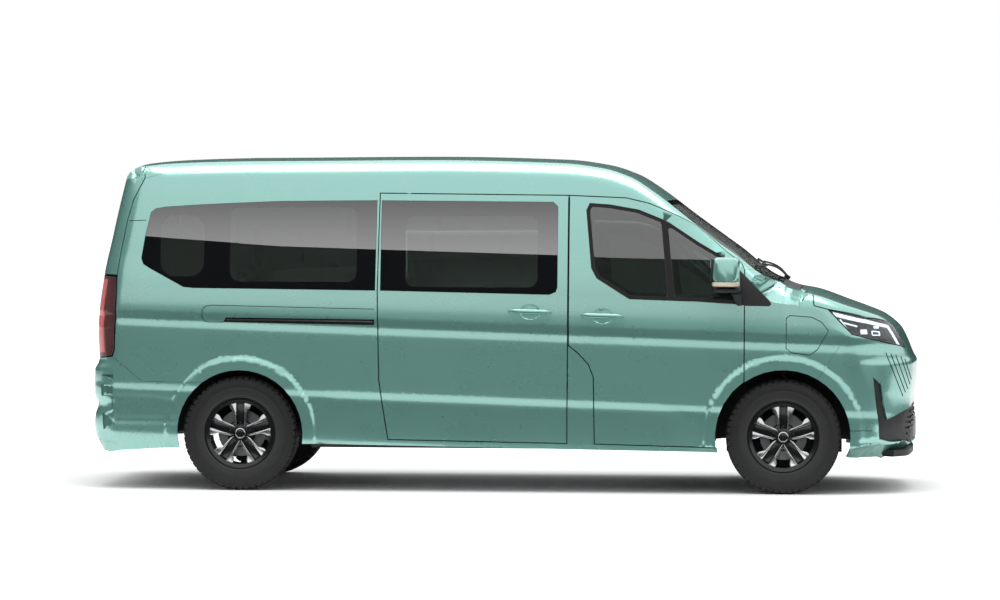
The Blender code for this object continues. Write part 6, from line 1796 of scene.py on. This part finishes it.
def make_sky_lamp():
    """Make the soft rectangular lamp above the roof."""
    data = bpy.data.lights.new("sky_lamp", "AREA")
    data.shape = "RECTANGLE"
    data.size, data.size_y = 9.0, 5.0
    data.energy = 420
    made = bpy.data.objects.new("sky_lamp", data)
    made.location = (0.3, -1.0, 7.0)
    made.rotation_euler = (Vector((0, 0, 0.6)) - made.location).to_track_quat("-Z", "Y").to_euler()
    bpy.context.scene.collection.objects.link(made)


def seen_ray(tree, path):
    """Return a value that is 1 where a ray from the camera, a mirror or a glass sees the surroundings."""
    value = path.outputs["Is Camera Ray"]
    for kind in ("Is Glossy Ray", "Is Transmission Ray"):
        either = tree.nodes.new("ShaderNodeMath")
        either.operation = "MAXIMUM"
        wire(tree, (value, either.inputs[0]), (path.outputs[kind], either.inputs[1]))
        value = either.outputs[0]
    return value


def set_step(level, *values):
    """Set a map range to a smooth step: where it starts and ends, and its values there."""
    level.interpolation_type = "SMOOTHSTEP"
    for index, value in enumerate(values, 1):
        level.inputs[index].default_value = value


def make_world():
    """Make the pale surroundings: white where they are seen, soft light from above for the rest."""
    world = bpy.data.worlds.new("studio")
    bpy.context.scene.world = world
    world.use_nodes = True
    tree = world.node_tree
    back = tree.nodes["Background"]
    path, place, split, level, choose = added(
        tree, "ShaderNodeLightPath", "ShaderNodeTexCoord", "ShaderNodeSeparateXYZ", "ShaderNodeMapRange",
        "ShaderNodeMix")
    set_step(level, -0.05, 0.9, 0.40, 1.1)
    wire(tree, (place.outputs["Generated"], split.inputs[0]), (split.outputs["Z"], level.inputs[0]),
         (seen_ray(tree, path), choose.inputs[0]), (level.outputs[0], choose.inputs[2]),
         (choose.outputs[0], back.inputs["Strength"]))
    choose.inputs[3].default_value = 1.0
    back.inputs["Color"].default_value = (1, 1, 1, 1)


def staged(name, vertices, faces, finish):
    """Make a part of the studio, which isn't part of the minibus."""
    mesh = bpy.data.meshes.new(name)
    mesh.from_pydata(vertices, [], faces)
    mesh.materials.append(finish)
    made = bpy.data.objects.new(name, mesh)
    bpy.context.scene.collection.objects.link(made)
    return made


def make_floor_plane():
    """Make the pale floor, which shows white in full light and keeps the shadow; it glows only away from the
    minibus, so the floor round it is darker, a painted shade.
    """
    made = bpy.data.materials.new("pale_floor")
    made.use_nodes = True
    tree = made.node_tree
    shader = tree.nodes["Principled BSDF"]
    path, tone, glow_with_painted_shade, place, apart, far, level = added(
        tree, "ShaderNodeLightPath", "ShaderNodeMix", "ShaderNodeMath", "ShaderNodeTexCoord",
        "ShaderNodeMapping", "ShaderNodeVectorMath", "ShaderNodeMapRange")
    tone.data_type = "RGBA"
    tone.inputs[6].default_value = (0.55, 0.55, 0.55, 1)
    tone.inputs[7].default_value = (1.0, 1.0, 1.0, 1)
    wire(tree, (seen_ray(tree, path), tone.inputs[0]), (tone.outputs[2], shader.inputs["Base Color"]))
    shader.inputs["Roughness"].default_value = 1.0
    shader.inputs["Specular IOR Level"].default_value = 0.0
    shader.inputs["Emission Color"].default_value = (1, 1, 1, 1)
    # The glow for camera rays is nil near the minibus and rises away from it: painted shade on the floor
    # round the vehicle
    glow_with_painted_shade.operation = "MULTIPLY"
    apart.inputs["Scale"].default_value = (0.5, 1, 1)
    far.operation = "LENGTH"
    set_step(level, 1.0, 3.2, 0.0, 0.30)
    wire(tree, (place.outputs["Object"], apart.inputs["Vector"]), (apart.outputs[0], far.inputs[0]),
         (far.outputs["Value"], level.inputs[0]), (level.outputs[0], glow_with_painted_shade.inputs[1]),
         (path.outputs["Is Camera Ray"], glow_with_painted_shade.inputs[0]),
         (glow_with_painted_shade.outputs[0], shader.inputs["Emission Strength"]))
    corners = [(x * FLOOR_REACH, y * FLOOR_REACH, 0) for x, y in ((-1, -1), (1, -1), (1, 1), (-1, 1))]
    staged("floor_plane", corners, [(0, 1, 2, 3)], made)


def make_dark_wall():
    """Make the dark wall and the dark mat that the bodywork mirrors below its bright sky."""
    count = 360
    turns = np.radians(np.arange(count) - 180.0)
    tops = np.interp(np.degrees(turns), *zip(*WALL_TOPS))
    heights = np.concatenate((np.zeros(count), tops))
    vertices = [(WALL_RADIUS * math.cos(a), WALL_RADIUS * math.sin(a), z)
                for a, z in zip(np.tile(turns, 2), heights)]
    faces = [(i + count, (i + 1) % count + count, (i + 1) % count, i) for i in range(count)]
    start = len(vertices)
    vertices += [(x, y, 0.005) for x, y in ((-40, -50), (40, -50), (40, -1.6), (-40, -1.6))]
    faces.append((start, start + 1, start + 2, start + 3))
    made = bpy.data.materials.new("dark_wall")
    made.use_nodes = True
    shader = made.node_tree.nodes["Principled BSDF"]
    shader.inputs["Base Color"].default_value = (0.02, 0.022, 0.022, 1)
    shader.inputs["Roughness"].default_value = 1.0
    shader.inputs["Specular IOR Level"].default_value = 0.0
    wall = staged("dark_wall", vertices, faces, made)
    wall.visible_camera = wall.visible_diffuse = wall.visible_transmission = wall.visible_shadow = False


def make_camera():
    """Make the camera at the photograph's place."""
    data = bpy.data.cameras.new("camera")
    data.lens = CAMERA_LENS
    data.sensor_width = 36
    data.clip_end = 500
    made = bpy.data.objects.new("camera", data)
    place, aim = Vector(CAMERA_PLACE), Vector(CAMERA_AIM)
    turn = (aim - place).to_track_quat("-Z", "Y").to_matrix() @ Matrix.Rotation(CAMERA_ROLL, 3, "Z")
    made.matrix_world = Matrix.Translation(place) @ turn.to_4x4()
    bpy.context.scene.collection.objects.link(made)
    bpy.context.scene.camera = made


# Operators


PANEL_NODES = (
    "right_side", "left_side", "right_sliding_door", "left_sliding_door", "right_front_door",
    "left_front_door", "right_fender", "left_fender", "roof", "bonnet", "front_bumper", "rear_bumper",
    "tailgate", "charge_flap", "scuttle")
GLASS_WALL = 0.005
PANE_FINISHES = (("side_glass", "side_pane"), ("sliding_glass", "side_pane"), ("front_glass", "door_pane"))


class MINIBUS_OT_stage(bpy.types.Operator):
    """Make the floor, the surroundings, the lamps and the camera"""
    bl_idname = "minibus.stage"
    bl_label = "Stage"

    def execute(self, context):
        context.scene.view_settings.view_transform = "Standard"
        make_world()
        make_floor_plane()
        make_dark_wall()
        make_camera()
        make_sky_lamp()
        return {"FINISHED"}


class MINIBUS_OT_finishes(bpy.types.Operator):
    """Make the finishes of all the pieces"""
    bl_idname = "minibus.finishes"
    bl_label = "Finishes"

    def execute(self, context):
        for maker in (make_paint, make_plain_finishes, make_rubber, make_glasses, make_cloth):
            maker()
        return {"FINISHED"}


class MINIBUS_OT_panels(bpy.types.Operator):
    """Make the painted body panels with their creases, grooves and recesses"""
    bl_idname = "minibus.panels"
    bl_label = "Body panels"

    def execute(self, context):
        for node in PANEL_NODES:
            made = dress_panel(node)
            if node == "scuttle":
                made.data.materials[0] = FINISHES["moulded"]
        return {"FINISHED"}


class MINIBUS_OT_glass(bpy.types.Operator):
    """Make the side glass, the windscreen and the tailgate glass"""
    bl_idname = "minibus.glass"
    bl_label = "Glass"

    def execute(self, context):
        for kind, finish in PANE_FINISHES:
            for side in ("right_", "left_"):
                dress_pane(side + kind, kind, finish, GLASS_WALL, sizes().skin_step)
        dress_pane("windscreen", "windscreen", "screen_pane", 0.006, sizes().skin_step)
        dress_pane("tailgate_glass", "tailgate_glass", "side_pane", GLASS_WALL, sizes().skin_step)
        return {"FINISHED"}


class MINIBUS_OT_wheels(bpy.types.Operator):
    """Make the rims, tyres, discs and nuts"""
    bl_idname = "minibus.wheels"
    bl_label = "Wheels"

    def execute(self, context):
        make_wheels()
        return {"FINISHED"}


class MINIBUS_OT_lamps(bpy.types.Operator):
    """Make the headlamps and tail lamps"""
    bl_idname = "minibus.lamps"
    bl_label = "Lamps"

    def execute(self, context):
        make_headlamps()
        make_tail_lamps()
        return {"FINISHED"}


class MINIBUS_OT_fittings(bpy.types.Operator):
    """Make the handles, mirrors, trim, grille slats, wipers and plates"""
    bl_idname = "minibus.fittings"
    bl_label = "Outside fittings"

    def execute(self, context):
        make_handles()
        make_mirrors()
        make_side_trim()
        make_front()
        make_wipers()
        make_rear()
        return {"FINISHED"}


class MINIBUS_OT_seats(bpy.types.Operator):
    """Make the stuffed seats and benches"""
    bl_idname = "minibus.seats"
    bl_label = "Seats"

    def execute(self, context):
        for row in SEAT_ROWS:
            make_seat(*row)
        return {"FINISHED"}


class MINIBUS_OT_cabin(bpy.types.Operator):
    """Make the dashboard and the steering wheel"""
    bl_idname = "minibus.cabin"
    bl_label = "Cabin"

    def execute(self, context):
        make_dashboard()
        make_steering_wheel()
        return {"FINISHED"}


class MINIBUS_OT_running_gear(bpy.types.Operator):
    """Make the floor, the axles and the drive parts"""
    bl_idname = "minibus.running_gear"
    bl_label = "Running gear"

    def execute(self, context):
        make_running_gear()
        return {"FINISHED"}


OPERATORS = (
    MINIBUS_OT_finishes, MINIBUS_OT_stage, MINIBUS_OT_panels, MINIBUS_OT_glass, MINIBUS_OT_wheels,
    MINIBUS_OT_lamps, MINIBUS_OT_fittings, MINIBUS_OT_cabin, MINIBUS_OT_running_gear, MINIBUS_OT_seats)


class MINIBUS_PT_pieces(bpy.types.Panel):
    """Lists the sizes, the colours and the pieces"""
    bl_idname = "MINIBUS_PT_pieces"
    bl_label = "Minibus"
    bl_space_type = "VIEW_3D"
    bl_region_type = "UI"
    bl_category = "Minibus"

    def draw(self, context):
        for group in (context.scene.minibus_sizes, context.scene.minibus_colours):
            for name in group.__annotations__:
                self.layout.prop(group, name)
        for operator in OPERATORS:
            self.layout.operator(operator.bl_idname)


CLASSES = (MinibusSizes, MinibusColours, *OPERATORS, MINIBUS_PT_pieces)


def register():
    """Register the classes and their settings."""
    for made in CLASSES:
        bpy.utils.register_class(made)
    bpy.types.Scene.minibus_sizes = bpy.props.PointerProperty(type=MinibusSizes)
    bpy.types.Scene.minibus_colours = bpy.props.PointerProperty(type=MinibusColours)


def unregister():
    """Remove the settings and the classes."""
    del bpy.types.Scene.minibus_colours
    del bpy.types.Scene.minibus_sizes
    for made in reversed(CLASSES):
        bpy.utils.unregister_class(made)


def main():
    """Make every piece."""
    register()
    for operator in OPERATORS:
        getattr(bpy.ops.minibus, operator.bl_idname.split(".")[1])()


if __name__ == "__main__":
    main()
